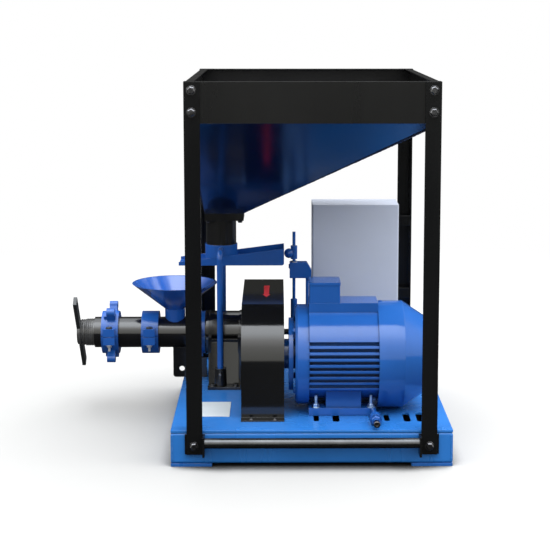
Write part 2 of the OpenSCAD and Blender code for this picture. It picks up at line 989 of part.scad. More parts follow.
// Shaft through the bearing housing and the driven pulley, ending in the feeder's eccentric
module main_shaft() {
    pulley_seat_d = 38;
    color(steel) {
        on_axis(screw_x1, housing_x1 - screw_x1, shaft_d);
        on_axis(housing_x1 - 1, pulley_x0 + pulley_w + 9 - housing_x1, pulley_seat_d);
        on_axis(pulley_x0 + pulley_w + 7, rod_x - pulley_x0 - pulley_w, stub_d);
        translate([0, 0, rod_stroke])
            on_axis(rod_x - 7, 14, eccentric_d);
    }
}

// ---------------------------------------------------------------- belt drive

// Side outline of the guard as [y, z], brought in by inset for the hollow inside
module guard_outline(inset) {
    front_r = guard_front_r - inset;
    back_r = guard_back_r - inset;
    crease_at = 75;
    bend = [motor_y - guard_reach + guard_front_r, motor_z - 9];
    // The flat top starts at a crease on the front bend and runs into the curve round the driven pulley
    crease = bend + front_r * [-cos(crease_at), sin(crease_at)];
    apart = crease - [axis_y, axis_z];
    touch = atan2(apart[1], apart[0]) - acos(back_r / norm(apart));
    back = [axis_y, axis_z] + back_r * [cos(touch - 4), sin(touch - 4)];
    floor_z = base_h - (inset > 0 ? 5 : 0);
    polygon([
        [bend[0] - front_r, floor_z],
        [axis_y + back_r, floor_z],
        [axis_y + back_r, axis_z],
        [axis_y, axis_z],
        back,
        crease,
        [crease[0], bend[1]],
        [bend[0] - front_r, bend[1]],
    ]);
    // The front bend, up to the crease
    intersection() {
        translate(bend)
            circle(front_r);
        translate([bend[0] - front_r, bend[1]])
            square([crease[0] - bend[0] + front_r, front_r]);
    }
    // Only the upper half: the sides run straight down to the base below it
    translate([axis_y, axis_z])
        intersection() {
            circle(back_r);
            translate([-guard_back_r, 0])
                square([2 * guard_back_r, guard_back_r]);
        }
}

// Sheet housing over the belt, open at the bottom, with a screwed flange at the front
module belt_guard() {
    shaft_clear = 3;
    flange_w = 33;
    color(black)
        difference() {
            union() {
                extrude_x(guard_x0, guard_w)
                    guard_outline(0);
                translate([guard_x0, motor_y - guard_reach - flange_w + 1, base_h])
                    cube([guard_w, flange_w, guard_t]);
            }
            extrude_x(guard_x0 + guard_t, guard_w - 2 * guard_t)
                guard_outline(guard_t);
            on_axis(guard_x0 - 1, guard_t + 2, shaft_d + 2 * shaft_clear);
            on_axis(guard_x1 - guard_t - 1, guard_t + 2, stub_d + 2 * shaft_clear);
            on_motor(guard_x1 - guard_t - 1, guard_t + 2, motor_shaft_d + 2 * shaft_clear);
        }
}

// Belt pulley with its face turned down between two low rims
module pulley_turned(d, bore) {
    rim = 5;
    difference() {
        union() {
            cylinder(h = pulley_w, d = d);
            for (z = [0, pulley_w - rim])
                translate([0, 0, z])
                    cylinder(h = rim, d = d + 8);
        }
        translate([0, 0, -1])
            cylinder(h = pulley_w + 2, d = bore);
    }
}

module driven_pulley() {
    color(steel)
        translate([pulley_x0, axis_y, axis_z])
            rotate([0, 90, 0])
                difference() {
                    pulley_turned(driven_d, 38 + 2 * seat_gap);
                    // Web turned thinner between the hub and the rim
                    for (z = [-1, pulley_w - 20])
                        translate([0, 0, z])
                            difference() {
                                cylinder(h = 21, d = driven_d - 30);
                                cylinder(h = 21, d = 80);
                            }
                }
}

module motor_pulley() {
    color(steel)
        translate([pulley_x0, motor_y, motor_z])
            rotate([0, 90, 0])
                pulley_turned(driver_d, motor_shaft_d + 2 * seat_gap);
}

// Points of an arc about a centre, from one angle to another
function arc(centre, r, from, to, steps = 40) =
    [for (i = [0 : steps]) let (a = from + (to - from) * i / steps) centre + r * [cos(a), sin(a)]];

// Outline round both pulleys at a height over their faces: two arcs and the runs between them.
// The arcs' flats stay outside the true circle.
module belt_outline(over) {
    apart = [axis_y - motor_y, axis_z - motor_z];
    lie = atan2(apart[1], apart[0]);
    open = acos((driver_d - driven_d) / 2 / norm(apart));
    true_r = 1 / cos(4);
    r1 = (driver_d / 2 + over) * true_r;
    r2 = (driven_d / 2 + over) * true_r;
    translate([motor_y, motor_z])
        polygon(concat(
            arc([0, 0], r1, lie + open, lie + 360 - open),
            arc(apart, r2, lie - open, lie + open)));
}

module drive_belt() {
    side_gap = 6;
    color([0.05, 0.05, 0.05])
        difference() {
            extrude_x(pulley_x0 + side_gap, pulley_w - 2 * side_gap)
                belt_outline(run_gap + belt_t);
            extrude_x(pulley_x0, pulley_w)
                belt_outline(run_gap);
        }
}

// ---------------------------------------------------------------- motor

// Cast body with cooling fins along both sides and the raised seat of the terminal box
module motor_body() {
    grooves = 8;
    // The fins' middle lies a little under the axis
    groove_z0 = motor_z - 2 - (grooves - 1) / 2 * fin_pitch - groove_w / 2;
    lowest_fin_z = groove_z0 - fin_pitch + groove_w;
    seat_z = motor_z + seat_up;
    color(enamel)
        difference() {
            union() {
                on_motor(body_x0, body_l, body_d);
                translate([body_x0, motor_y - seat_front, motor_z])
                    cube([body_l, seat_w, seat_z - motor_z]);
            }
            // Under the lowest fins only the core is left, for the feet
            difference() {
                translate([body_x0 - 1, motor_y - body_d, motor_z - body_d])
                    cube([body_l + 2, 2 * body_d, lowest_fin_z - motor_z + body_d]);
                on_motor(body_x0 - 2, body_l + 4, core_d);
            }
            for (side = [-1, 1], i = [0 : grooves - 1])
                translate([body_x0 - 1, motor_y, groove_z0 + i * fin_pitch])
                    translate([0, side > 0 ? body_d / 2 - fin_depth - 11 : -body_d / 2 - 1, 0])
                        cube([body_l + 2, fin_depth + 12, groove_w]);
            on_motor(body_x0 - 1, body_l + 2, motor_shaft_d + 4);
        }
}

// Front shield with the bearing cap and disc towards the belt guard, and the rear shield
module motor_end_shields() {
    bore = motor_shaft_d + 4;
    color(enamel)
        difference() {
            union() {
                on_motor(guard_x1, shield_x0 - guard_x1 + 1, 0.3 * shield_d);
                on_motor(guard_x1 + 12, 12, 0.73 * shield_d);
                on_motor(shield_x0, 6, shield_d - 12, shield_d);
                on_motor(shield_x0 + 6, body_x0 - shield_x0 - 6, shield_d);
                on_motor(body_x1, rear_shield_t, cowl_d - 2 * cowl_t - 2 * seat_gap);
            }
            on_motor(guard_x1 - 1, body_x1 - guard_x1 + rear_shield_t + 2, bore);
        }
}

// Pressed cover over the fan: drum, cone and the grille in its back face
module fan_cover() {
    ring_w = 5;
    gap_w = 18;
    t = cowl_t;
    drum = cowl_d / 2;
    back = cowl_back_d / 2;
    first_r = 24;
    color(enamel)
        difference() {
            translate([body_x1, motor_y, motor_z])
                rotate([0, 90, 0])
                    rotate_extrude()
                        polygon([
                            [drum - t, 0],
                            [drum, 0],
                            [drum, cowl_l],
                            [back, cowl_l + cowl_cone_l],
                            [0, cowl_l + cowl_cone_l],
                            [0, cowl_l + cowl_cone_l - t],
                            [back - t, cowl_l + cowl_cone_l - t],
                            [drum - t, cowl_l - 1],
                        ]);
            // Three rings of openings, each crossed by four spokes
            for (i = [0 : 2])
                grille_ring(first_r + i * (gap_w + ring_w), gap_w);
        }
}

// Ring-shaped cut through the cover's back face, with four spokes left standing
module grille_ring(r, w) {
    translate([cowl_x1 - 8, motor_y, motor_z])
        rotate([0, 90, 0])
            difference() {
                cylinder(h = 12, r = r + w);
                translate([0, 0, -1])
                    cylinder(h = 14, r = r);
                for (a = [45, 135])
                    rotate([0, 0, a])
                        translate([-r - w - 1, -3, -1])
                            cube([2 * (r + w + 1), 6, 14]);
            }
}

// Back disc, hub and straight radial blades
module motor_fan() {
    fan_x = body_x1 + rear_shield_t + fan_gap;
    disc_t = 5;
    blade = [fan_l - disc_t + 1, 5, fan_d / 2 - 24];
    color(black)
        difference() {
            union() {
                on_motor(fan_x, fan_l + 2, 62);
                on_motor(fan_x, disc_t, fan_d);
                for (i = [0 : blades - 1])
                    translate([fan_x + disc_t - 1, motor_y, motor_z])
                        rotate([(i + 0.5) * 360 / blades, 0, 0])
                            translate([0, -blade[1] / 2, 22])
                                cube(blade);
            }
            on_motor(fan_x - 1, fan_l + 4, motor_shaft_d - 8 + 2 * seat_gap);
        }
}

module terminal_box() {
    lid = 8;
    size = [80, seat_w - 7, 54];
    color(enamel)
        translate([body_x0 + 1, motor_y - seat_front, motor_z + seat_up]) {
            round_box([size[0], size[1], size[2] - lid], 3);
            translate([-1, -1, size[2] - lid])
                round_box([size[0] + 2, size[1] + 2, lid], 4);
        }
}

// Cast feet, one along each side of the motor
module motor_feet() {
    web_l = 92;
    inner_y = 50;
    color(enamel)
        for (side = [0, 1])
            translate([0, motor_y, 0])
                mirror([0, side, 0])
                    difference() {
                        union() {
                            translate([motor_mid_x - motor_foot_l / 2 - 3, -motor_foot_y, base_h])
                                cube([motor_foot_l, motor_foot_y - inner_y, motor_foot_t]);
                            translate([motor_mid_x - web_l / 2, -motor_foot_y + 8, base_h])
                                cube([web_l, motor_foot_y - inner_y - 8, motor_z - base_h]);
                        }
                        x_cylinder(body_x0 - 20, body_l + 40, core_d + 2 * seat_gap, 0, motor_z);
                        // Holes for the studs that clamp the foot to the base
                        for (dx = [-stud_dx, stud_dx])
                            upright(motor_mid_x + dx, -stud_dy, base_h - 1, motor_foot_t + 2, 12);
                    }
}

module motor_shaft() {
    fan_seat_d = motor_shaft_d - 8;
    x0 = pulley_x0 - 6;
    step_x = body_x1 + 2;
    color(steel) {
        on_motor(x0, step_x - x0, motor_shaft_d);
        on_motor(step_x - 1, rear_shield_t + fan_gap + fan_l + 1, fan_seat_d);
    }
}

// Screw that sets the belt's tension, in a boss on the base, bearing on the motor's foot
module tension_bolt() {
    bolt_d = 14;
    boss_d = 31;
    boss_l = 25;
    z = base_h + boss_d / 2;
    color(steel)
        translate([tension_x, base_y0, z])
            rotate([-90, 0, 0])
                cylinder(h = motor_y - motor_foot_y - base_y0, d = bolt_d);
    color(enamel)
        translate([tension_x, base_y0 + 40, z])
            rotate([-90, 0, 0])
                difference() {
                    cylinder(h = boss_l, d = boss_d);
                    translate([0, 0, -1])
                        cylinder(h = boss_l + 2, d = bolt_d + 2 * seat_gap);
                }
}

// ---------------------------------------------------------------- control cabinet

cabinet_x1 = frame_x0 + frame_l - 49;
cabinet_y1 = frame_y0 + frame_w - angle_w;
module control_cabinet() {
    color(light_grey)
        translate([cabinet_x1 - cabinet_l, cabinet_y1 - cabinet_w, cabinet_top - cabinet_h])
            round_box([cabinet_l, cabinet_w, cabinet_h], 4);
}

// Flat bars that carry the cabinet on the back right post
module cabinet_brackets() {
    bar = [152, 6, 30];
    color(black)
        for (z = [cabinet_top - cabinet_h + 50, cabinet_top - 80])
            translate([frame_x0 + frame_l - angle_t - bar[0], cabinet_y1, z])
                cube(bar);
}

base_long_rails();
base_side_rails();
base_feet();
base_plate();
frame_posts();
rim_long_panels();
rim_side_panels();
post_brackets();
hand_bar();
hopper_front_wall();
hopper_back_wall();
hopper_left_wall();
hopper_right_wall();
outlet_flange();
outlet_tube();
outlet_collar();
feed_tray();
tray_supports();
support_sockets();
rod_guide();
feeder_rod();
barrel();
barrel_clamps();
die_plug();
die_handle();
feed_funnel();
extruder_screw();
bearing_housing();
barrel_stand();
barrel_bracket();
main_shaft();
belt_guard();
driven_pulley();
motor_pulley();
drive_belt();
motor_body();
motor_end_shields();
fan_cover();
motor_fan();
terminal_box();
motor_feet();
motor_shaft();
tension_bolt();
control_cabinet();
cabinet_brackets();
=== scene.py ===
import math

import bmesh
import bpy
from mathutils import Matrix, Vector


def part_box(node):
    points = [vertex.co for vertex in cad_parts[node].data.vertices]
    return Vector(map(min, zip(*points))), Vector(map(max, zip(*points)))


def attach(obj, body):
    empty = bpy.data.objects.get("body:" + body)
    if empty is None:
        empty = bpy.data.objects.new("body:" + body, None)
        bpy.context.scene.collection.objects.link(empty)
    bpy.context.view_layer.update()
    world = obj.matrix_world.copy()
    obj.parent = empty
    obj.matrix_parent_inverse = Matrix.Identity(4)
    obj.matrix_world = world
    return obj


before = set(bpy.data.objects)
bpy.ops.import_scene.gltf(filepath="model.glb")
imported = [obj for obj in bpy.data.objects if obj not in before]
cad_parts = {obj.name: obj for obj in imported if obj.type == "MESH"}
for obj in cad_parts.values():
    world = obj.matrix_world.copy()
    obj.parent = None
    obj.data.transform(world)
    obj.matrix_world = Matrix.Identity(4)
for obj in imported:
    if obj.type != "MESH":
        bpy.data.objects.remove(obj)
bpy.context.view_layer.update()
scene = bpy.context.scene
scene.view_settings.view_transform = "Standard"


# ================================================================ studio
# A white floor under soft light from overhead. The surround is a tall white screen in front,
# brightest near its top, with a weaker glow high up all round: it draws the clear bands on the
# glossy paint. A low, far camera looks at the motor's side.
def add(tree, kind, inputs=None, **settings):
    """Adds a node to a tree. Inputs are values or other nodes' outputs, by name or number."""
    made = tree.nodes.new(kind)
    for key, value in settings.items():
        setattr(made, key, value)
    for key, value in (inputs or {}).items():
        if isinstance(value, bpy.types.NodeSocket):
            tree.links.new(value, made.inputs[key])
        else:
            made.inputs[key].default_value = value
    return made


def ramp(tree, value, stops):
    """A colour ramp of grey or coloured stops, as (place, colour)."""
    made = add(tree, "ShaderNodeValToRGB", {0: value})
    made.color_ramp.elements.remove(made.color_ramp.elements[1])
    for i, (place, colour) in enumerate(stops):
        stop = made.color_ramp.elements[0] if i == 0 else made.color_ramp.elements.new(place)
        stop.position = place
        stop.color = (*colour, 1) if isinstance(colour, tuple) else (colour, colour, colour, 1)
    return made.outputs["Color"]


def spread(tree, value, lo, hi, to_lo, to_hi):
    """Takes the span from lo to hi onto the span from to_lo to to_hi."""
    return add(tree, "ShaderNodeMapRange", {"Value": value, "From Min": lo, "From Max": hi,
                                            "To Min": to_lo, "To Max": to_hi}).outputs[0]


def blend(tree, share, one, two, how="MIX"):
    """Mixes two colours."""
    return add(tree, "ShaderNodeMix", {0: share, 6: one, 7: two},
               data_type="RGBA", blend_type=how).outputs[2]


def maths(tree, a, b, how="MULTIPLY"):
    """Arithmetic on two values."""
    return add(tree, "ShaderNodeMath", {0: a, 1: b}, operation=how).outputs[0]


def fresh(name):
    """An empty material, as (material, tree, place on the piece)."""
    made = bpy.data.materials.new(name)
    made.use_nodes = True
    made.node_tree.nodes.clear()
    place = add(made.node_tree, "ShaderNodeTexCoord").outputs["Object"]
    return made, made.node_tree, place


camera = bpy.data.objects.new("camera", bpy.data.cameras.new("camera"))
scene.collection.objects.link(camera)
looks_down, looks_left = 8.06, 0.433
camera.location = (0.06388, -4.0130, 1.14367)
camera.rotation_euler = (math.radians(90 - looks_down), 0, math.radians(-looks_left))
camera.data.sensor_width = 36
camera.data.lens = 97.07
camera.data.shift_x = -0.0235
camera.data.shift_y = -0.10
scene.camera = camera

surround = bpy.data.worlds.new("surround")
surround.use_nodes = True
sky = surround.node_tree
sky.nodes.clear()
way = add(sky, "ShaderNodeTexCoord").outputs["Generated"]
way = add(sky, "ShaderNodeSeparateXYZ", {0: way}).outputs
screen = ramp(sky, way["Z"], [
    (0.0, (0.2, 0.2, 0.185)), (0.24, (0.24, 0.24, 0.225)), (0.46, (0.3, 0.3, 0.29)),
    (0.66, 0.5), (0.83, (0.86, 0.9, 0.94)), (0.965, (0.96, 1.0, 1.05)),
])
above = spread(sky, way["Z"], -0.012, 0.0, 0.02, 1.0)
front = spread(sky, way["Y"], -0.12, 0.45, 1.0, 0.05)
high = spread(sky, way["Z"], 0.45, 0.9, 0.0, 0.5)
open_side = maths(sky, high, front, "MAXIMUM")
glow = blend(sky, 1.0, screen, maths(sky, above, open_side), "MULTIPLY")
lit = add(sky, "ShaderNodeBackground", {"Color": glow, "Strength": 5.0})
plain = add(sky, "ShaderNodeBackground", {"Color": (1, 1, 1, 1), "Strength": 1.0})
seen = add(sky, "ShaderNodeLightPath").outputs["Is Camera Ray"]
both = add(sky, "ShaderNodeMixShader", {0: seen, 1: lit.outputs[0], 2: plain.outputs[0]})
add(sky, "ShaderNodeOutputWorld", {"Surface": both.outputs[0]})
scene.world = surround

lamp_aim = Vector((0, 0, 0.3))
for name, place, size, power in (
    ("overhead", (1.35, 0.5, 3.8), 6.0, 362),
    ("back_fill", (0.8, 4.2, 2.2), 2.4, 60),
):
    lamp = bpy.data.objects.new(name, bpy.data.lights.new(name, "AREA"))
    lamp.data.size = size
    lamp.data.energy = power
    lamp.location = place
    lamp.rotation_euler = (lamp_aim - Vector(place)).to_track_quat("-Z", "Y").to_euler()
    lamp.visible_glossy = False
    scene.collection.objects.link(lamp)

# The floor is white to the eye and dull in reflections. A soft painted shade, from an occlusion
# pass, darkens it round the feet, and it turns plain white far off.
floor_r = 30
floor_mesh = bpy.data.meshes.new("floor")
floor_mesh.from_pydata([(-floor_r, -floor_r, 0), (floor_r, -floor_r, 0), (floor_r, floor_r, 0),
                        (-floor_r, floor_r, 0)], [], [(0, 1, 2, 3)])
floor = bpy.data.objects.new("floor", floor_mesh)
scene.collection.objects.link(floor)
paper, t, place = fresh("floor_paper")
rays = add(t, "ShaderNodeLightPath").outputs
seen = rays["Is Camera Ray"]
tone = blend(t, seen, (0.12, 0.12, 0.122, 1), (0.348, 0.343, 0.336, 1))
tone = blend(t, rays["Is Glossy Ray"], tone, (0.02, 0.02, 0.02, 1))
# Painted shade: occlusion read along a normal tipped back darkens the floor round the feet, most in
# front of them.
under = add(t, "ShaderNodeAmbientOcclusion", {"Distance": 0.08, "Normal": (0, 0.94, 0.34)},
            samples=8)
under = spread(t, under.outputs["AO"], 0.32, 0.74, 0.08, 1.0)
tone = blend(t, 1.0, tone, under, "MULTIPLY")
white = add(t, "ShaderNodeBsdfDiffuse", {"Color": tone})
far = add(t, "ShaderNodeEmission", {"Color": (1, 1, 1, 1), "Strength": 1.0})
away = add(t, "ShaderNodeVectorMath", {0: place}, operation="LENGTH").outputs["Value"]
fade = maths(t, spread(t, away, 0.9, 3.2, 0.0, 1.0), seen)
sheet = add(t, "ShaderNodeMixShader", {0: fade, 1: white.outputs[0], 2: far.outputs[0]})
add(t, "ShaderNodeOutputMaterial", {"Surface": sheet.outputs[0]})
floor.data.materials.append(paper)


# ================================================================ base
# Welded base: folded steel channels on four foot plates, with a plain top plate slotted for the
# motor. Everything is sprayed with a glossy blue enamel after welding.
def noise(tree, place, scale, detail=2.0, rough=0.5, stretch=None):
    """Cloudy pattern on object coordinates, stretched along an axis where asked."""
    if stretch:
        place = add(tree, "ShaderNodeMapping", {"Vector": place, "Scale": stretch}).outputs[0]
    return add(tree, "ShaderNodeTexNoise", {"Vector": place, "Scale": scale, "Detail": detail,
                                            "Roughness": rough}).outputs["Fac"]


def clouded(tree, colour, cloud, dark, light, lo=0.3, hi=0.7):
    """The colour, a little darker and a little lighter in cloudy patches."""
    low = tuple(c * dark for c in colour) + (1,)
    high = tuple(min(1, c * light) for c in colour) + (1,)
    return blend(tree, spread(tree, cloud, lo, hi, 0, 1), low, high)


def worn_edges(tree, width, amount, patch):
    """Share of bare or rubbed finish: the outer edges, broken up by a cloudy patch."""
    round_normal = add(tree, "ShaderNodeBevel", {"Radius": width}, samples=4).outputs[0]
    face = add(tree, "ShaderNodeNewGeometry").outputs["True Normal"]
    along = add(tree, "ShaderNodeVectorMath", {0: round_normal, 1: face}, operation="DOT_PRODUCT")
    edge = spread(tree, along.outputs["Value"], 0.985, 0.8, 0, 1)
    rubbed = maths(tree, edge, spread(tree, patch, 0.5, 0.68, 0, 1))
    return maths(tree, rubbed, amount), round_normal


def skinned(made, tree, finish, bump):
    """Ends a material with its shader, from the values for its finish and for its bump."""
    bumped = add(tree, "ShaderNodeBump", bump)
    skin = add(tree, "ShaderNodeBsdfPrincipled", {**finish, "Normal": bumped.outputs[0]})
    add(tree, "ShaderNodeOutputMaterial", {"Surface": skin.outputs[0]})
    return made


def enamel(name, colour, roughness, peel=0.25, wear=0.35, under=(0.28, 0.3, 0.33), coat=0.0,
           dust=0.0, shine=0.5, painted_hollow_shade=0.0):
    """Sprayed enamel: faint orange peel, cloudy tone, wiped streaks, edges rubbed thin. Dust on
    what faces up, and painted shade that darkens and dulls deep hollows, where asked."""
    made, tree, place = fresh(name)
    cloud = noise(tree, place, 4.5, 4, 0.6)
    patch = noise(tree, place, 38, 5, 0.65)
    streak = noise(tree, place, 9, 4, 0.55, (1.0, 1.0, 0.12))
    ripple = noise(tree, place, 520, 2, 0.5)
    rubbed, round_normal = worn_edges(tree, 0.0016, wear, patch)
    tone = blend(tree, rubbed, clouded(tree, colour, cloud, 0.9, 1.1), (*under, 1))
    if dust:
        up = add(tree, "ShaderNodeNewGeometry").outputs["Normal"]
        up = add(tree, "ShaderNodeSeparateXYZ", {0: up}).outputs["Z"]
        lying = maths(tree, spread(tree, up, 0.6, 1, 0, 1), spread(tree, patch, 0.35, 0.75, 0, 1))
        tone = blend(tree, maths(tree, lying, dust), tone, (0.62, 0.6, 0.55, 1))
    rough = spread(tree, streak, 0.3, 0.7, roughness * 0.8, roughness * 1.25)
    rough = maths(tree, rough, maths(tree, rubbed, 0.3), "ADD")
    # Painted shade: an occlusion pass darkens the colour and dulls the shine in deep hollows.
    if painted_hollow_shade:
        hollow_shade_share = add(tree, "ShaderNodeAmbientOcclusion", {"Distance": 0.012}, samples=6)
        hollow_shade_share = spread(tree, hollow_shade_share.outputs["AO"], 0.3, 0.85, 1 - painted_hollow_shade, 1)
        tone = blend(tree, 1.0, tone, hollow_shade_share, "MULTIPLY")
        shine = maths(tree, hollow_shade_share, shine)
    return skinned(made, tree, {"Base Color": tone, "Roughness": rough, "Specular IOR Level": shine,
                                "Coat Weight": coat, "Coat Roughness": 0.08},
                   {"Strength": peel, "Distance": 0.0004, "Height": ripple, "Normal": round_normal})


def dress(names, material):
    """Gives CAD nodes their finish."""
    for name in names:
        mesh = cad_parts[name].data
        mesh.materials.clear()
        mesh.materials.append(material)


blue = enamel("blue_enamel_base", (0.018, 0.138, 0.44), 0.25, peel=0.05, dust=0.015)
dress(["base_long_rails", "base_side_rails", "base_plate"], blue)
dress(["base_feet"], enamel("blue_enamel_feet", (0.014, 0.1, 0.36), 0.3, wear=0.8))


def socketed(tree, wanted):
    """Names a geometry tree's inputs, as (name, kind, value), and gives them back by name."""
    for name, kind, value in wanted:
        made = tree.interface.new_socket(name, in_out="INPUT", socket_type="NodeSocket" + kind)
        if value is not None:
            made.default_value = value
    tree.interface.new_socket("Geometry", in_out="OUTPUT", socket_type="NodeSocketGeometry")
    return tree.nodes.new("NodeGroupInput").outputs


def closed_off(tree, geometry, paint):
    """Ends a tree: real geometry with the given paint on it."""
    real = add(tree, "GeometryNodeRealizeInstances", {0: geometry})
    painted = add(tree, "GeometryNodeSetMaterial", {"Geometry": real.outputs[0], "Material": paint})
    add(tree, "NodeGroupOutput", {0: painted.outputs[0]})


def settle(piece, body, sharp=35):
    """Shades a finished piece and hands it to its body."""
    piece.data.polygons.foreach_set("use_smooth", [True] * len(piece.data.polygons))
    piece.data.set_sharp_from_angle(angle=math.radians(sharp))
    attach(piece, body)


def grown(name, tree, carrier, values, body, sharp=35):
    """Runs a geometry tree on a carrier mesh and keeps the result as one plain piece."""
    seed = bpy.data.objects.new(name + "_carrier", carrier)
    scene.collection.objects.link(seed)
    worker = seed.modifiers.new("grow", "NODES")
    worker.node_group = tree
    for item in tree.interface.items_tree:
        if item.in_out == "INPUT" and item.name in values:
            worker[item.identifier] = values[item.name]
    bpy.context.view_layer.update()
    shaped = seed.evaluated_get(bpy.context.evaluated_depsgraph_get())
    result = bpy.data.meshes.new_from_object(shaped)
    bpy.data.objects.remove(seed)
    piece = bpy.data.objects.new(name, result)
    scene.collection.objects.link(piece)
    settle(piece, body, sharp)


# Weld seams: flat drops laid one over the next along a line
weld_seam = bpy.data.node_groups.new("weld_seam", "GeometryNodeTree")
given = socketed(weld_seam, [
    ("Seam", "Geometry", None), ("Width", "Float", 0.006), ("Step", "Float", 0.0028),
    ("Seed", "Int", 3), ("Paint", "Material", None),
])
path = add(weld_seam, "GeometryNodeMeshToCurve", {0: given["Seam"]}).outputs[0]
drops = add(weld_seam, "GeometryNodeCurveToPoints", {"Curve": path, "Length": given["Step"]},
            mode="LENGTH").outputs
drop = add(weld_seam, "GeometryNodeMeshIcoSphere", {"Radius": 0.5, "Subdivisions": 2})
odd = add(weld_seam, "FunctionNodeRandomValue", {2: 0.82, 3: 1.12, "Seed": given["Seed"]},
          data_type="FLOAT")
beads = add(weld_seam, "GeometryNodeInstanceOnPoints", {
    "Points": drops["Points"], "Instance": drop.outputs["Mesh"], "Rotation": drops["Rotation"],
    "Scale": maths(weld_seam, odd.outputs[1], given["Width"]),
})
closed_off(weld_seam, beads.outputs[0], given["Paint"])


def welded(name, runs, width, paint, slot="blue_enamel", **values):
    """Lays weld seams along runs of points."""
    mesh = bpy.data.meshes.new(name)
    points, edges = [], []
    for run in runs:
        start = len(points)
        points += [tuple(p) for p in run]
        edges += [(start + i, start + i + 1) for i in range(len(run) - 1)]
    mesh.from_pydata(points, edges, [])
    grown(name, weld_seam, mesh, {"Width": width, "Paint": paint, **values}, "machine")


# Upright welds at the corners where the side rails meet the long ones
plate_lo, plate_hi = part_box("base_plate")
rail_lo, rail_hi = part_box("base_side_rails")
weld_in, weld_back = 0.0042, 0.0012
weld_foot, weld_head = rail_lo.z + 0.01, rail_hi.z - 0.008
seams = []
for x in (plate_lo.x + weld_in, plate_hi.x - weld_in):
    for y in (plate_lo.y + weld_back, plate_hi.y - weld_back):
        seams.append([(x, y, weld_foot), (x, y, weld_head)])
welded("base_corner_welds", seams, 0.0052, blue)


def soft_box(bm, lo, hi, edge=0.0015, steps=2):
    """A box with its edges eased, added to a bmesh."""
    made = bmesh.ops.create_cube(bm, size=1)["verts"]
    lo, hi = Vector(lo), Vector(hi)
    for v in made:
        v.co = Vector([lo[i] + (v.co[i] + 0.5) * (hi[i] - lo[i]) for i in range(3)])
    edges = list({e for v in made for e in v.link_edges})
    bmesh.ops.bevel(bm, geom=edges, offset=edge, segments=steps, profile=0.5, affect="EDGES")


def built(name, bm, material, body, sharp=35):
    """Closes a hand-built mesh, paints it and hands it to its body."""
    bmesh.ops.remove_doubles(bm, verts=bm.verts, dist=1e-6)
    bmesh.ops.recalc_face_normals(bm, faces=bm.faces)
    mesh = bpy.data.meshes.new(name)
    bm.to_mesh(mesh)
    bm.free()
    mesh.materials.append(material)
    piece = bpy.data.objects.new(name, mesh)
    scene.collection.objects.link(piece)
    settle(piece, body, sharp)


# Blank plate fixed to the base in front of the barrel stand
blank_x, blank_y, blank_t = (-0.166, -0.060), (-0.256, -0.112), 0.0012
bm = bmesh.new()
soft_box(bm, (blank_x[0], blank_y[0], plate_hi.z), (blank_x[1], blank_y[1], plate_hi.z + blank_t),
         0.0005, 1)
built("data_plate", bm, enamel("data_plate", (0.5, 0.54, 0.57), 0.35, peel=0.1, wear=0.6, coat=0.1),
      "machine")

# Stitch welds where the top plate lies on the side and back rails
stitch = 0.045
stitch_z = rail_hi.z + 0.0002
side_in, back_in = 0.0034, 0.0022
seams = []
for x in (rail_lo.x + side_in, rail_hi.x - side_in):
    for y in (-0.29, -0.1, 0.09, 0.28):
        seams.append([(x, y, stitch_z), (x, y + stitch, stitch_z)])
back_y = plate_hi.y - back_in
for x in (-0.1, 0.08, 0.26, 0.4):
    seams.append([(x, back_y, stitch_z), (x + stitch, back_y, stitch_z)])
welded("base_stitch_welds", seams, 0.0046, blue, Seed=24)


# ================================================================ bolts and screws
# Zinc-plated fasteners of one pattern: a head with a turned chamfer over a round washer, and
# where a nut is drawn down on a stud, the stud's end above it.
def bright_zinc(name, colour=(0.42, 0.43, 0.45), roughness=0.34):
    """Plated or browned steel: fine spangle, cloudy tone, brighter edges."""
    made, tree, place = fresh(name)
    spangle = add(tree, "ShaderNodeTexVoronoi", {"Vector": place, "Scale": 900.0})
    cloud = noise(tree, place, 60, 3, 0.6)
    worn, round_normal = worn_edges(tree, 0.0006, 0.7, cloud)
    tone = clouded(tree, colour, cloud, 0.7, 1.15, 0.35, 0.65)
    tone = blend(tree, worn, tone, (0.62, 0.62, 0.62, 1))
    rough = spread(tree, cloud, 0.3, 0.7, roughness * 0.75, roughness * 1.3)
    return skinned(made, tree, {"Base Color": tone, "Metallic": 1.0, "Roughness": rough},
                   {"Strength": 0.12, "Distance": 0.0002, "Height": spangle.outputs["Distance"],
                    "Normal": round_normal})


zinc = bright_zinc("zinc_plating")
browned = bright_zinc("browned_steel", (0.17, 0.17, 0.18), 0.2)

fastener = bpy.data.node_groups.new("fastener", "GeometryNodeTree")
given = socketed(fastener, [
    ("Places", "Geometry", None), ("Sides", "Int", 6), ("Seed", "Int", 1),
    ("Head radius", "Float", 0.011), ("Head height", "Float", 0.008),
    ("Washer radius", "Float", 0.0), ("Washer height", "Float", 0.0),
    ("Stud radius", "Float", 0.0), ("Stud height", "Float", 0.0), ("Paint", "Material", None),
])


def taper(sides, radius, top_share, height):
    """A closed cone or prism of the fastener, standing on its wider end."""
    top = radius if top_share == 1 else maths(fastener, radius, top_share)
    return add(fastener, "GeometryNodeMeshCone", {
        "Vertices": sides, "Radius Top": top, "Radius Bottom": radius, "Depth": height,
    }).outputs["Mesh"]


def lifted(tree, shape, z, turn=(0, 0, 0)):
    """A shape moved up, and turned where asked."""
    up = add(tree, "ShaderNodeCombineXYZ", {"Z": z})
    return add(tree, "GeometryNodeTransform", {"Geometry": shape, "Translation": up.outputs[0],
                                               "Rotation": turn}).outputs[0]


def joined(tree, shapes):
    """Several shapes as one."""
    parts = add(tree, "GeometryNodeJoinGeometry")
    for shape in shapes:
        tree.links.new(shape, parts.inputs[0])
    return parts.outputs[0]


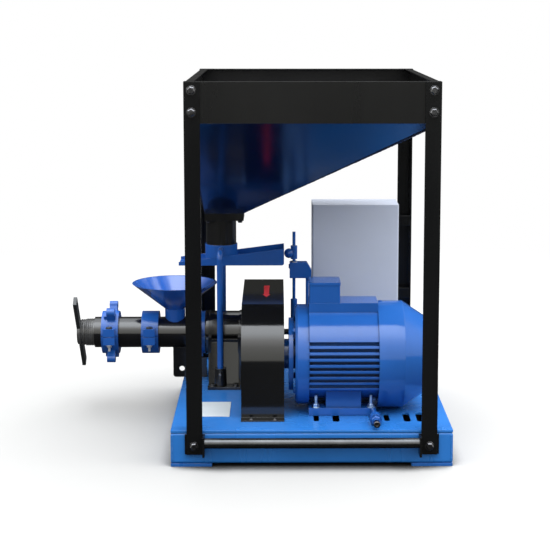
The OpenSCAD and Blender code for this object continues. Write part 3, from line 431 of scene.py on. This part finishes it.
def aimed(tree, **settings):
    """Turns the Z axis to the direction kept with each place."""
    axis = add(tree, "GeometryNodeInputNamedAttribute", {"Name": "axis"}, data_type="FLOAT_VECTOR")
    return add(tree, "FunctionNodeAlignRotationToVector", {"Vector": axis.outputs[0]}, axis="Z",
               **settings).outputs[0]


shank, chamfer = 0.72, 0.28
sides, head_r, head_h = given["Sides"], given["Head radius"], given["Head height"]
shank_h = maths(fastener, head_h, shank)
head_z = maths(fastener, given["Washer height"], 0.9)
parts = joined(fastener, (
    lifted(fastener, taper(sides, head_r, 1, shank_h), head_z),
    lifted(fastener, taper(sides, head_r, 0.78, maths(fastener, head_h, chamfer)),
           maths(fastener, head_z, shank_h, "ADD")),
    taper(28, given["Washer radius"], 0.97, given["Washer height"]),
    lifted(fastener, taper(16, given["Stud radius"], 0.86, given["Stud height"]),
           maths(fastener, head_z, head_h, "ADD")),
))
turn = add(fastener, "FunctionNodeRandomValue", {2: 0.0, 3: 6.28, "Seed": given["Seed"]},
           data_type="FLOAT")
spun = add(fastener, "FunctionNodeAxisAngleToRotation", {"Axis": (0, 0, 1),
                                                         "Angle": turn.outputs[1]})
pose = add(fastener, "FunctionNodeRotateRotation", {0: aimed(fastener), 1: spun.outputs[0]},
           rotation_space="LOCAL")
set_out = add(fastener, "GeometryNodeInstanceOnPoints", {
    "Points": given["Places"], "Instance": parts, "Rotation": pose.outputs[0],
})
closed_off(fastener, set_out.outputs[0], given["Paint"])


def place_mesh(name, places):
    """Loose points, each with its direction, from (point, direction)."""
    mesh = bpy.data.meshes.new(name)
    mesh.from_pydata([tuple(point) for point, way_out in places], [], [])
    axes = mesh.attributes.new("axis", "FLOAT_VECTOR", "POINT")
    axes.data.foreach_set("vector", [c for point, way_out in places for c in way_out])
    return mesh


def fastened(name, places, head, washer=(0.0, 0.0), stud=(0.0, 0.0), sides=6, seed=1,
             paint=zinc):
    """Bolts, nuts or screws at the places given. Head, washer and stud are (radius, height)."""
    values = {"Sides": sides, "Seed": seed, "Paint": paint}
    for part, (radius, height) in (("Head", head), ("Washer", washer), ("Stud", stud)):
        values[part + " radius"] = radius
        values[part + " height"] = height
    grown(name, fastener, place_mesh(name, places), values, "machine", 30)


left, right = (-1, 0, 0), (1, 0, 0)
ahead, behind = (0, -1, 0), (0, 1, 0)
downward, upward = (0, 0, -1), (0, 0, 1)


# ================================================================ frame
# Four angle posts bolted to the base and to the rim's panels, with brackets between base and
# posts, and a round bar across the front to push and lift by. Glossy black enamel.
BLACK = (0.004, 0.0042, 0.0045)
DARK_EDGE = (0.1, 0.1, 0.1)
black = enamel("black_enamel_frame", BLACK, 0.22, peel=0.2, wear=0.25, under=DARK_EDGE, shine=0.3)
dress(["frame_posts", "post_brackets"], black)
rim_black = enamel("black_enamel_rim", (0.006, 0.006, 0.006), 0.3, peel=0.4, wear=0.25,
                   under=(0.12, 0.12, 0.12), shine=0.3)
dress(["rim_long_panels", "rim_side_panels"], rim_black)


def turned_steel(name, colour, roughness, grain=(1.0, 0.03, 0.03)):
    """Drawn or lathe-turned steel: fine grain along or round the piece under a thin film of oil."""
    made, tree, place = fresh(name)
    rings = noise(tree, place, 900, 2, 0.5, grain)
    tone = clouded(tree, colour, noise(tree, place, 22, 4, 0.6), 0.75, 1.1)
    rough = spread(tree, rings, 0.3, 0.7, roughness * 0.8, roughness * 1.3)
    return skinned(made, tree, {"Base Color": tone, "Metallic": 1.0, "Roughness": rough},
                   {"Strength": 0.15, "Distance": 0.0002, "Height": rings})


browned_bar = turned_steel("browned_bar", (0.105, 0.108, 0.112), 0.24, grain=(0.02, 0.6, 0.6))
dress(["hand_bar"], browned_bar)

post_lo, post_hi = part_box("frame_posts")
bolt_in, leg_in, foot_bolt_z = 0.0189, 0.021, 0.0555
hex_head, hex_washer = (0.0102, 0.0068), (0.0124, 0.0016)
both_posts = (post_lo.x + bolt_in, post_hi.x - bolt_in)
fastened("post_top_bolts", [(Vector((x, post_lo.y, z)), ahead) for x in both_posts
                            for z in (0.950, 0.896)], hex_head, hex_washer, paint=browned)
fastened("post_foot_bolts", [(Vector((x, post_lo.y, foot_bolt_z)), ahead) for x in both_posts],
         hex_head, hex_washer, seed=5, paint=browned)
# The back posts are bolted through their side legs and welded to their brackets at the foot
fastened("post_side_bolts", [(Vector((x, post_hi.y - leg_in, z)), way_out)
                             for x, way_out in ((post_lo.x, left), (post_hi.x, right))
                             for z in (0.918, 0.884)], hex_head, hex_washer, seed=8)
weld_y, weld_foot, weld_head = post_hi.y - 0.0042, 0.036, 0.083
leg, proud = 0.04, 0.0004
weld_x = (post_lo.x - proud, post_lo.x + leg + proud, post_hi.x + proud, post_hi.x - leg - proud)
seams = [[(x, weld_y, weld_foot), (x, weld_y, weld_head)] for x in weld_x]
welded("post_foot_welds", seams, 0.0055, black, "black_enamel", Step=0.003, Seed=31)


# ================================================================ hopper
# Four sloping sheets welded along their corners and into the rim, ending in a cast flange with
# the outlet tube under it. Blue enamel on the walls, black on the flange and the tube.
hopper_blue = enamel("blue_enamel_hopper", (0.001, 0.007, 0.04), 0.15, peel=0.05, wear=0.1,
                     shine=0.8)
dress([f"hopper_{side}_wall" for side in ("front", "back", "left", "right")], hopper_blue)
tube_black = enamel("black_enamel_outlet", BLACK, 0.24, peel=0.2, coat=0.3)
dress(["outlet_flange", "outlet_tube"], tube_black)


def corners_round(lo, hi):
    """The corners of a box seen from above, in order round it."""
    return [Vector((lo.x, lo.y)), Vector((hi.x, lo.y)), Vector((hi.x, hi.y)), Vector((lo.x, hi.y))]


flange_lo, flange_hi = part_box("outlet_flange")
rim_lo, rim_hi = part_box("rim_long_panels")
weld_in = 0.0022
outlet_middle = ((flange_lo + flange_hi) / 2).to_2d()
rim_corners, flange_corners = corners_round(rim_lo, rim_hi), corners_round(flange_lo, flange_hi)
seams = []
for high_corner, low_corner in zip(rim_corners, flange_corners):
    seams.append([(*(p + (outlet_middle - p).normalized() * weld_in), z)
                  for p, z in ((high_corner, rim_lo.z - 0.002), (low_corner, flange_hi.z + 0.003))])
welded("hopper_corner_welds", seams, 0.0062, hopper_blue, Step=0.0034, Seed=11)


def inset_corners(lo, hi, inset, z, way_out):
    """Places for a screw near each corner of a box, as (point, direction)."""
    return [(Vector((x, y, z)), way_out) for x in (lo.x + inset, hi.x - inset)
            for y in (lo.y + inset, hi.y - inset)]


fastened("outlet_flange_bolts", inset_corners(flange_lo, flange_hi, 0.010, flange_lo.z, downward),
         (0.0066, 0.005), (0.0078, 0.0012), seed=4, paint=tube_black)


# ================================================================ vibrating feeder
# A folded tray rocks on two pins under the collar. Two bent pipes hold the collar, and a rod
# that rides on the shaft's eccentric shakes the tray's closed end through a ball.
feeder_blue = enamel("blue_enamel_feeder", (0.012, 0.08, 0.33), 0.2, peel=0.15, wear=0.5)
dress(["outlet_collar", "feed_tray", "tray_supports", "rod_guide", "feeder_rod"], feeder_blue)
dress(["support_sockets"], tube_black)

socket_lo, socket_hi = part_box("support_sockets")
socket_x, socket_screw_z = (socket_lo.x + socket_hi.x) / 2, socket_hi.z - 0.014
fastened("socket_screws", [(Vector((socket_x, socket_lo.y, socket_screw_z)), ahead),
                           (Vector((socket_x, socket_hi.y, socket_screw_z)), behind)],
         (0.0045, 0.004), seed=6, paint=browned)

guide_lo, guide_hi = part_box("rod_guide")
rod_x, axis_y = 0.11275, 0.173
fastened("guide_screw", [(Vector((guide_lo.x, axis_y, guide_hi.z - 0.0125)), left)],
         (0.0068, 0.0028), sides=20, seed=2, paint=feeder_blue)


def turned(bm, profile, centre, axis, steps=48):
    """A closed ring turned from a profile of (distance along the axis, radius)."""
    aim = Vector(axis).to_track_quat("Z", "Y").to_matrix().to_4x4()
    chuck = Matrix.Translation(Vector(centre)) @ aim
    turns = [i * math.tau / steps for i in range(steps)]
    round_at = [(math.cos(a), math.sin(a)) for a in turns]
    rings = [[bm.verts.new(chuck @ Vector((radius * x, radius * y, along))) for x, y in round_at]
             for along, radius in profile]
    for a, b in zip(rings, rings[1:] + rings[:1]):
        for i in range(steps):
            bm.faces.new((a[i], a[(i + 1) % steps], b[(i + 1) % steps], b[i]))


# Plain bearing pressed into the guide's top, round the rod
bush_hole, bush_r, bush_h = 0.0052, 0.0105, 0.0025
ease = 0.0007
bm = bmesh.new()
turned(bm, [(0, bush_hole), (0, bush_r), (bush_h - ease, bush_r), (bush_h, bush_r - ease),
            (bush_h, bush_hole)], (rod_x, axis_y, guide_hi.z), upward)
built("guide_bush", bm, bright_zinc("guide_bush", (0.5, 0.56, 0.66), 0.3), "machine")


# ================================================================ extruder
# Barrel of thick tube, browned and oiled, held by split clamps. The screw runs through it to
# the bearing housing on a welded stand, and a threaded plug with the die closes its end.
oiled = enamel("oiled_black_steel", (0.0045, 0.0045, 0.005), 0.13, peel=0.08, wear=0.5,
               under=(0.2, 0.19, 0.19), shine=0.9)
dress(["barrel", "bearing_housing"], oiled)
stand_black = enamel("black_enamel_stand", BLACK, 0.14, peel=0.1, shine=0.8)
dress(["barrel_stand", "barrel_bracket"], stand_black)
clamp_blue = enamel("blue_enamel_clamps", (0.012, 0.082, 0.34), 0.2, peel=0.2, wear=0.6)
dress(["barrel_clamps"], clamp_blue)
funnel_blue = enamel("blue_enamel_funnel", (0.012, 0.085, 0.38), 0.16, peel=0.1, wear=0.15,
                     coat=0.6, shine=0.9)
dress(["feed_funnel"], funnel_blue)
handle_black = enamel("black_enamel_handle", (0.02, 0.022, 0.023), 0.36, peel=0.3, wear=0.8,
                      under=(0.25, 0.25, 0.25), coat=0.25)
dress(["die_handle"], handle_black)
dress(["extruder_screw"], turned_steel("turned_steel", (0.46, 0.46, 0.47), 0.3))
oiled_shaft = turned_steel("oiled_shaft", (0.022, 0.022, 0.024), 0.3)
dress(["main_shaft"], oiled_shaft)

# Bolts down through the clamps' ears, one on each side of each ring
barrel_lo, barrel_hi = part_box("barrel")
axis_z = (barrel_lo.z + barrel_hi.z) / 2
ear_y, ear_z = 0.06275, 0.0235
half_ring = 0.024
ring_x = [barrel_lo.x + 0.022 + half_ring, barrel_lo.x + 0.136 + half_ring,
          barrel_hi.x - 0.003 - half_ring]
ears = [(x, axis_y + side * ear_y) for x in ring_x for side in (-1, 1)]
fastened("clamp_bolts", [(Vector((x, y, axis_z + ear_z)), upward) for x, y in ears],
         (0.0092, 0.0045), sides=24, seed=7, paint=handle_black)
fastened("clamp_nuts", [(Vector((x, y, axis_z - ear_z)), downward) for x, y in ears],
         (0.0072, 0.0062), (0.0112, 0.002), (0.0036, 0.011), seed=9,
         paint=enamel("galvanised_nuts", (0.4, 0.41, 0.43), 0.4, peel=0.15, wear=0.2))

# Spanner lugs of the first clamp: flat arms with a rounded end, cast with the ring
lugs = bpy.data.node_groups.new("spanner_lugs", "GeometryNodeTree")
given = socketed(lugs, [("Places", "Geometry", None), ("Width", "Float", 0.022),
                        ("Length", "Float", 0.036), ("Thickness", "Float", 0.019),
                        ("Paint", "Material", None)])
arm = add(lugs, "ShaderNodeCombineXYZ", {"X": given["Width"], "Y": given["Thickness"],
                                         "Z": given["Length"]})
arm = add(lugs, "GeometryNodeMeshCube", {"Size": arm.outputs[0]})
end = add(lugs, "GeometryNodeMeshCylinder", {
    "Vertices": 28, "Radius": maths(lugs, given["Thickness"], 0.56),
    "Depth": maths(lugs, given["Width"], 1.06),
})
lug = joined(lugs, (
    lifted(lugs, arm.outputs["Mesh"], maths(lugs, given["Length"], 0.5)),
    lifted(lugs, end.outputs["Mesh"], given["Length"], (0, math.pi / 2, 0)),
))
placed = add(lugs, "GeometryNodeInstanceOnPoints", {"Points": given["Places"], "Instance": lug,
                                                    "Rotation": aimed(lugs, pivot_axis="X")})
closed_off(lugs, placed.outputs[0], given["Paint"])
lug_x, lug_r = ring_x[0] + 0.004, 0.052
rays = [(0, -math.cos(math.radians(a)), math.sin(math.radians(a))) for a in (54, -54, 119, -119)]
places = [((lug_x, axis_y + lug_r * y, axis_z + lug_r * z), (x, y, z)) for x, y, z in rays]
grown("clamp_lugs", lugs, place_mesh("clamp_lugs", places),
      {"Length": 0.030, "Thickness": 0.020, "Paint": clamp_blue}, "machine", 40)

# Ridges of the die plug's thread: a sharp spiral of one pitch, in two runs, on the plug's body
# and on its narrower nose
thread = bpy.data.node_groups.new("thread_ridges", "GeometryNodeTree")
given = socketed(thread, [("Base", "Geometry", None), ("Radius", "Float", 0.0375),
                          ("Pitch", "Float", 0.0056), ("Turns", "Float", 4.4),
                          ("Depth", "Float", 0.0021), ("Paint", "Material", None)])
helix = add(thread, "GeometryNodeCurveSpiral", {
    "Resolution": 64, "Rotations": given["Turns"], "Start Radius": given["Radius"],
    "End Radius": given["Radius"], "Height": maths(thread, given["Pitch"], given["Turns"]),
})
tooth = add(thread, "GeometryNodeCurvePrimitiveCircle", {"Resolution": 4, "Radius": given["Depth"]},
            mode="RADIUS")
ridge = add(thread, "GeometryNodeCurveToMesh", {
    "Curve": helix.outputs[0], "Profile Curve": tooth.outputs["Curve"], "Fill Caps": True,
})
laid = lifted(thread, ridge.outputs[0], 0.0, (0, math.pi / 2, 0))
spot = add(thread, "GeometryNodeInstanceOnPoints", {"Points": given["Base"], "Instance": laid})
closed_off(thread, spot.outputs[0], given["Paint"])
plug_steel = enamel("threaded_plug_steel", (0.05, 0.05, 0.05), 0.24, peel=0.05, wear=0.15,
                    under=(0.2, 0.2, 0.2), shine=0.9)
dress(["die_plug"], plug_steel)
plug_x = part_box("die_plug")[0].x
for name, start, radius, turns in (
    ("die_thread", 0.0155, 0.0375, 4.3),
    ("die_thread_nose", -0.0012, 0.0355, 2.7),
):
    thread_start = bpy.data.meshes.new(name)
    thread_start.from_pydata([(plug_x + start, axis_y, axis_z)], [], [])
    grown(name, thread, thread_start, {"Radius": radius, "Turns": turns, "Paint": plug_steel},
          "die", 20)

# Nose ring on the plug's face: the bar lies in a slot across it, the strand comes out of its hole
nose_hole, nose_r, nose_l = 0.0125, 0.0352, 0.0104
bm = bmesh.new()
turned(bm, [(0, nose_hole), (0, nose_r - 0.0017), (0.0016, nose_r), (nose_l, nose_r),
            (nose_l, nose_hole)],
       (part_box("die_handle")[0].x + 0.0002, axis_y, axis_z), right, 64)
built("die_nose", bm, plug_steel, "die")

# Weld bead where the funnel's spout meets the barrel
funnel_lo, funnel_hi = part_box("feed_funnel")
funnel_x, weld_r, weld_z = (funnel_lo.x + funnel_hi.x) / 2, 0.0268, 0.3103
steps = 40
turns = [i * math.tau / steps for i in range(steps + 1)]
seam = [(funnel_x + weld_r * math.cos(a), axis_y + weld_r * math.sin(a), weld_z) for a in turns]
welded("funnel_weld", [seam], 0.004, funnel_blue, Step=0.0026, Seed=21)

# Ring of bolts in the housing's end cover
housing_x, bolt_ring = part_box("bearing_housing")[1].x, 0.049
places = []
for angle in range(30, 390, 60):
    a = math.radians(angle)
    y, z = axis_y + bolt_ring * math.cos(a), axis_z + bolt_ring * math.sin(a)
    places.append((Vector((housing_x, y, z)), right))
fastened("housing_bolts", places, (0.0055, 0.0032), seed=12, paint=browned)

# Apron welded on the stand's front, leaning back
stand_lo, stand_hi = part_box("barrel_stand")
apron = [(0.0535, 0.1022), (0.0728, 0.1022), (0.0728, 0.2185), (0.0716, 0.2185)]
apron_x = (stand_lo.x + 0.0015, stand_hi.x - 0.0052)
bm = bmesh.new()
ends = [[bm.verts.new((x, y, z)) for y, z in apron] for x in apron_x]
for i in range(len(apron)):
    j = (i + 1) % len(apron)
    bm.faces.new((ends[0][i], ends[0][j], ends[1][j], ends[1][i]))
bm.faces.new(ends[0][::-1])
bm.faces.new(ends[1])
bmesh.ops.bevel(bm, geom=bm.edges[:], offset=0.0004, segments=1, profile=0.5, affect="EDGES")
built("stand_apron", bm, stand_black, "machine")
foot_t = 0.008
fastened("stand_bolts", inset_corners(stand_lo, stand_hi, 0.014, stand_lo.z + foot_t, upward),
         (0.0072, 0.0042), (0.0092, 0.001), seed=13, paint=stand_black)


# ================================================================ belt drive
# Sheet guard over two pulleys and their belts, bent up and spot welded, black gloss enamel,
# held by two screws at its front flange, with a red arrow for the way it turns.
gloss_black = enamel("black_enamel_gloss", BLACK, 0.1, peel=0.06, wear=0.2, under=DARK_EDGE,
                     shine=0.75)
dress(["belt_guard"], gloss_black)
dress(["driven_pulley", "motor_pulley"], turned_steel("cast_pulley", (0.3, 0.3, 0.31), 0.42))
dress(["motor_shaft"], oiled_shaft)
dress(["drive_belt"], enamel("belt_rubber", (0.02, 0.02, 0.02), 0.75, peel=0.8, wear=0.6,
                             under=(0.07, 0.07, 0.07)))

guard_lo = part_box("belt_guard")[0]
guard_screw_y, flange_t = guard_lo.y + 0.013, 0.003
fastened("guard_screws", [(Vector((x, guard_screw_y, guard_lo.z + flange_t)), upward)
                          for x in (-0.0028, 0.0587)],
         (0.0045, 0.0024), (0.0066, 0.001), sides=18, seed=14, paint=browned)

# The arrow lies on the guard's sloping top, its tail towards the ridge and its tip at the crease
crease, ridge_top = Vector((0.0354, -0.1638, 0.3739)), Vector((0.0354, 0.1821, 0.3767))
slope = (ridge_top - crease).normalized()
slope_up = Vector((0, -slope.z, slope.y))
tail, neck, tip = 0.2548, 0.131, 0.094
sunk, paint_t = 0.0002, 0.0007
outline = [(-0.0078, tail), (0.0078, tail), (0.0068, neck), (0.0102, neck), (0.0, tip),
           (-0.0102, neck), (-0.0068, neck)]
bm = bmesh.new()
low = [bm.verts.new(crease + Vector((x, 0, 0)) + slope * along - slope_up * sunk)
       for x, along in outline]
high = [bm.verts.new(v.co + slope_up * paint_t) for v in low]
bm.faces.new(high)
bm.faces.new(low[::-1])
for i in range(len(outline)):
    j = (i + 1) % len(outline)
    bm.faces.new((low[i], low[j], high[j], high[i]))
red = enamel("red_enamel_arrow", (0.55, 0.022, 0.03), 0.35, peel=0.1, wear=0.2, coat=0.25)
built("turning_arrow", bm, red, "machine")


# ================================================================ motor
# Foot-mounted electric motor: cast finned body and end shields, pressed fan cover with its
# grille, terminal box on top. It slides on the base to tension the belt.
# The motor's paint carries painted shade in its deep hollows, between the fins.
motor_blue = enamel("blue_enamel_motor", (0.014, 0.085, 0.33), 0.13, peel=0.12, wear=0.12,
                    painted_hollow_shade=0.6)
dress(["motor_body", "motor_end_shields", "motor_feet", "terminal_box", "tension_bolt"], motor_blue)
cowl_blue = enamel("blue_enamel_fan_cover", (0.016, 0.092, 0.34), 0.12, peel=0.06, wear=0.3)
dress(["fan_cover"], cowl_blue)
dress(["motor_fan"], enamel("fan_moulding", (0.03, 0.03, 0.032), 0.5, peel=0.3, wear=0.1))

# Screws of the front end shield, and of the fan cover
body_lo, body_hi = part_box("motor_body")
shaft_lo, shaft_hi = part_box("motor_shaft")
motor_y, motor_z = (shaft_lo.y + shaft_hi.y) / 2, (shaft_lo.z + shaft_hi.z) / 2


def round_motor(x, radius, angle):
    """A point at a distance from the motor's axis, and the way out to it."""
    out = Vector((0, math.cos(math.radians(angle)), math.sin(math.radians(angle))))
    return Vector((x, motor_y, motor_z)) + out * radius, tuple(out)


shield_x, shield_bolt_r = body_lo.x - 0.036, 0.112
places = [(round_motor(shield_x, shield_bolt_r, angle)[0], left) for angle in (45, 135, 225, 315)]
fastened("shield_bolts", places, (0.008, 0.006), seed=15, paint=motor_blue)
cover_x, cover_r = body_hi.x + 0.010, 0.1421
places = [round_motor(cover_x, cover_r, angle) for angle in (90, 0, -90)]
fastened("fan_cover_screws", places, (0.0048, 0.0022), sides=18, seed=16, paint=cowl_blue)

# Lid screws of the terminal box, sunk to their tops, and its glands at the back
box_lo, box_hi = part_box("terminal_box")
lid_screw_r, lid_screw_h = 0.0036, 0.0022
places = inset_corners(box_lo, box_hi, 0.009, box_hi.z - lid_screw_h, upward)
fastened("terminal_box_screws", places, (lid_screw_r, lid_screw_h), sides=16, seed=17)
gland_in, gland_y, gland_z = 0.025, box_hi.y - 0.001, box_lo.z + 0.024
places = [(Vector((x, gland_y, gland_z)), behind)
          for x in (box_lo.x + gland_in, box_hi.x - gland_in)]
fastened("terminal_glands", places, (0.0115, 0.009), (0.0125, 0.002), (0.0078, 0.007), seed=26,
         paint=rim_black)

# Studs through the feet, with nuts of blue-passivated zinc whose strong blue tint is a painted
# reflection of the blue paint round them
foot_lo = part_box("motor_feet")[0]
feet_x, foot_top, stud_dx, stud_dy = body_lo.x + 0.09, foot_lo.z + 0.02, 0.072, 0.081
stud_x, stud_y = (feet_x - stud_dx, feet_x + stud_dx), (motor_y - stud_dy, motor_y + stud_dy)
fastened("motor_stud_nuts", [(Vector((x, y, foot_top)), upward) for x in stud_x for y in stud_y],
         (0.0092, 0.008), (0.0115, 0.0018), (0.005, 0.022), seed=18,
         paint=bright_zinc("blue_zinc_painted_reflection", (0.5, 0.68, 1.0), 0.34))

# Tensioning screw: a lock nut, and a socket head over the end of its thread
bolt_lo, bolt_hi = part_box("tension_bolt")
bolt_x, bolt_z = (bolt_lo.x + bolt_hi.x) / 2, (bolt_lo.z + bolt_hi.z) / 2
fastened("tension_nut", [(Vector((bolt_x, bolt_lo.y + 0.0395, bolt_z)), ahead)],
         (0.0128, 0.009), seed=19, paint=motor_blue)
sides, head_r, ease, key_r = 24, 0.0084, 0.001, 0.0046
head_front, head_back, socket_floor = bolt_lo.y - 0.0062, bolt_lo.y + 0.0135, bolt_lo.y - 0.0004
turns = [i * math.tau / sides for i in range(sides)]
round_at = [(math.cos(a), math.sin(a)) for a in turns]
key_corners = [(key_r * x, key_r * z) for x, z in round_at[::sides // 6]]
key_hole = []
for i in range(sides):
    (x0, z0), (x1, z1) = key_corners[i // 4], key_corners[(i // 4 + 1) % 6]
    part = i % 4 / 4
    key_hole.append((x0 + (x1 - x0) * part, z0 + (z1 - z0) * part))
bm = bmesh.new()
rings = [
    [bm.verts.new((bolt_x + radius * x, y, bolt_z + radius * z)) for x, z in points]
    for radius, points, y in (
        (head_r * 0.72, round_at, head_back),
        (head_r, round_at, head_back),
        (head_r, round_at, head_front + ease),
        (head_r - ease, round_at, head_front),
        (1, key_hole, head_front),
        (1, key_hole, socket_floor),
    )
]
for one, two in zip(rings, rings[1:]):
    for i in range(sides):
        j = (i + 1) % sides
        bm.faces.new((one[i], one[j], two[j], two[i]))
bm.faces.new(rings[-1])
bm.faces.new(rings[0][::-1])
built("tension_screw_head", bm, browned, "machine", 30)


# ================================================================ control cabinet
# Sheet-steel box on two flat bars between the back posts, with a door on its outer side.
# Light grey powder coat with a fine texture.
def powder_coat(name, colour, roughness=0.45):
    """Powder coat: fine even grain, faint cloudy tone, edges a little paler."""
    made, tree, place = fresh(name)
    grain = noise(tree, place, 1100, 3, 0.6)
    patch = noise(tree, place, 34, 5, 0.65)
    rubbed, round_normal = worn_edges(tree, 0.002, 0.25, patch)
    tone = clouded(tree, colour, noise(tree, place, 3.5, 4, 0.6), 0.95, 1.04)
    tone = blend(tree, rubbed, tone, (0.8, 0.8, 0.8, 1))
    rough = spread(tree, patch, 0.3, 0.7, roughness * 0.9, roughness * 1.15)
    return skinned(made, tree, {"Base Color": tone, "Roughness": rough},
                   {"Strength": 0.3, "Distance": 0.0003, "Height": grain, "Normal": round_normal})


grey = powder_coat("grey_powder_coat", (0.49, 0.53, 0.63))
dress(["control_cabinet"], grey)
dress(["cabinet_brackets"], black)
cabinet_lo, cabinet_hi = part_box("control_cabinet")
cabinet_middle = (cabinet_lo + cabinet_hi) / 2

# Door with its two hinges, on the back face
door_in, door_back = 0.007, cabinet_hi.y + 0.0044
bm = bmesh.new()
soft_box(bm, (cabinet_lo.x + door_in, cabinet_hi.y + 0.0008, cabinet_lo.z + door_in),
         (cabinet_hi.x - 0.112, door_back, cabinet_hi.z - door_in), 0.0018, 3)
hinge_half = 0.022
for z in (cabinet_lo.z + 0.06, cabinet_hi.z - 0.06):
    soft_box(bm, (cabinet_lo.x + 0.001, cabinet_hi.y - 0.0004, z - hinge_half),
             (cabinet_lo.x + 0.0068, cabinet_hi.y + 0.0052, z + hinge_half), 0.0012, 2)
built("cabinet_door", bm, grey, "machine")
fastened("cabinet_lock", [(Vector((cabinet_hi.x - 0.126, door_back, cabinet_middle.z)), behind)],
         (0.0085, 0.005), (0.0125, 0.0016), sides=24, seed=27, paint=rim_black)

# Gland plate under the cabinet, with three cable glands closed by caps
plate_in_x, plate_in_y, plate_t = 0.04, 0.03, 0.0022
bm = bmesh.new()
soft_box(bm, (cabinet_lo.x + plate_in_x, cabinet_lo.y + plate_in_y, cabinet_lo.z - plate_t),
         (cabinet_hi.x - plate_in_x, cabinet_hi.y - plate_in_y, cabinet_lo.z + 0.0004), 0.0008, 2)
built("gland_plate", bm, grey, "machine")
gland_y, gland_z = cabinet_middle.y, cabinet_lo.z - plate_t
places = [(Vector((cabinet_lo.x + x, gland_y, gland_z)), downward) for x in (0.075, 0.1255, 0.176)]
fastened("cabinet_glands", places, (0.0125, 0.009), stud=(0.0085, 0.008), seed=28, paint=rim_black)

# Bolts where the two bars meet the back post
bracket_lo, bracket_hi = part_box("cabinet_brackets")
bar_half = 0.015
fastened("cabinet_bolts", [(Vector((bracket_hi.x - 0.02, bracket_hi.y, z)), behind)
                           for z in (bracket_lo.z + bar_half, bracket_hi.z - bar_half)],
         (0.008, hex_head[1]), hex_washer, seed=20)
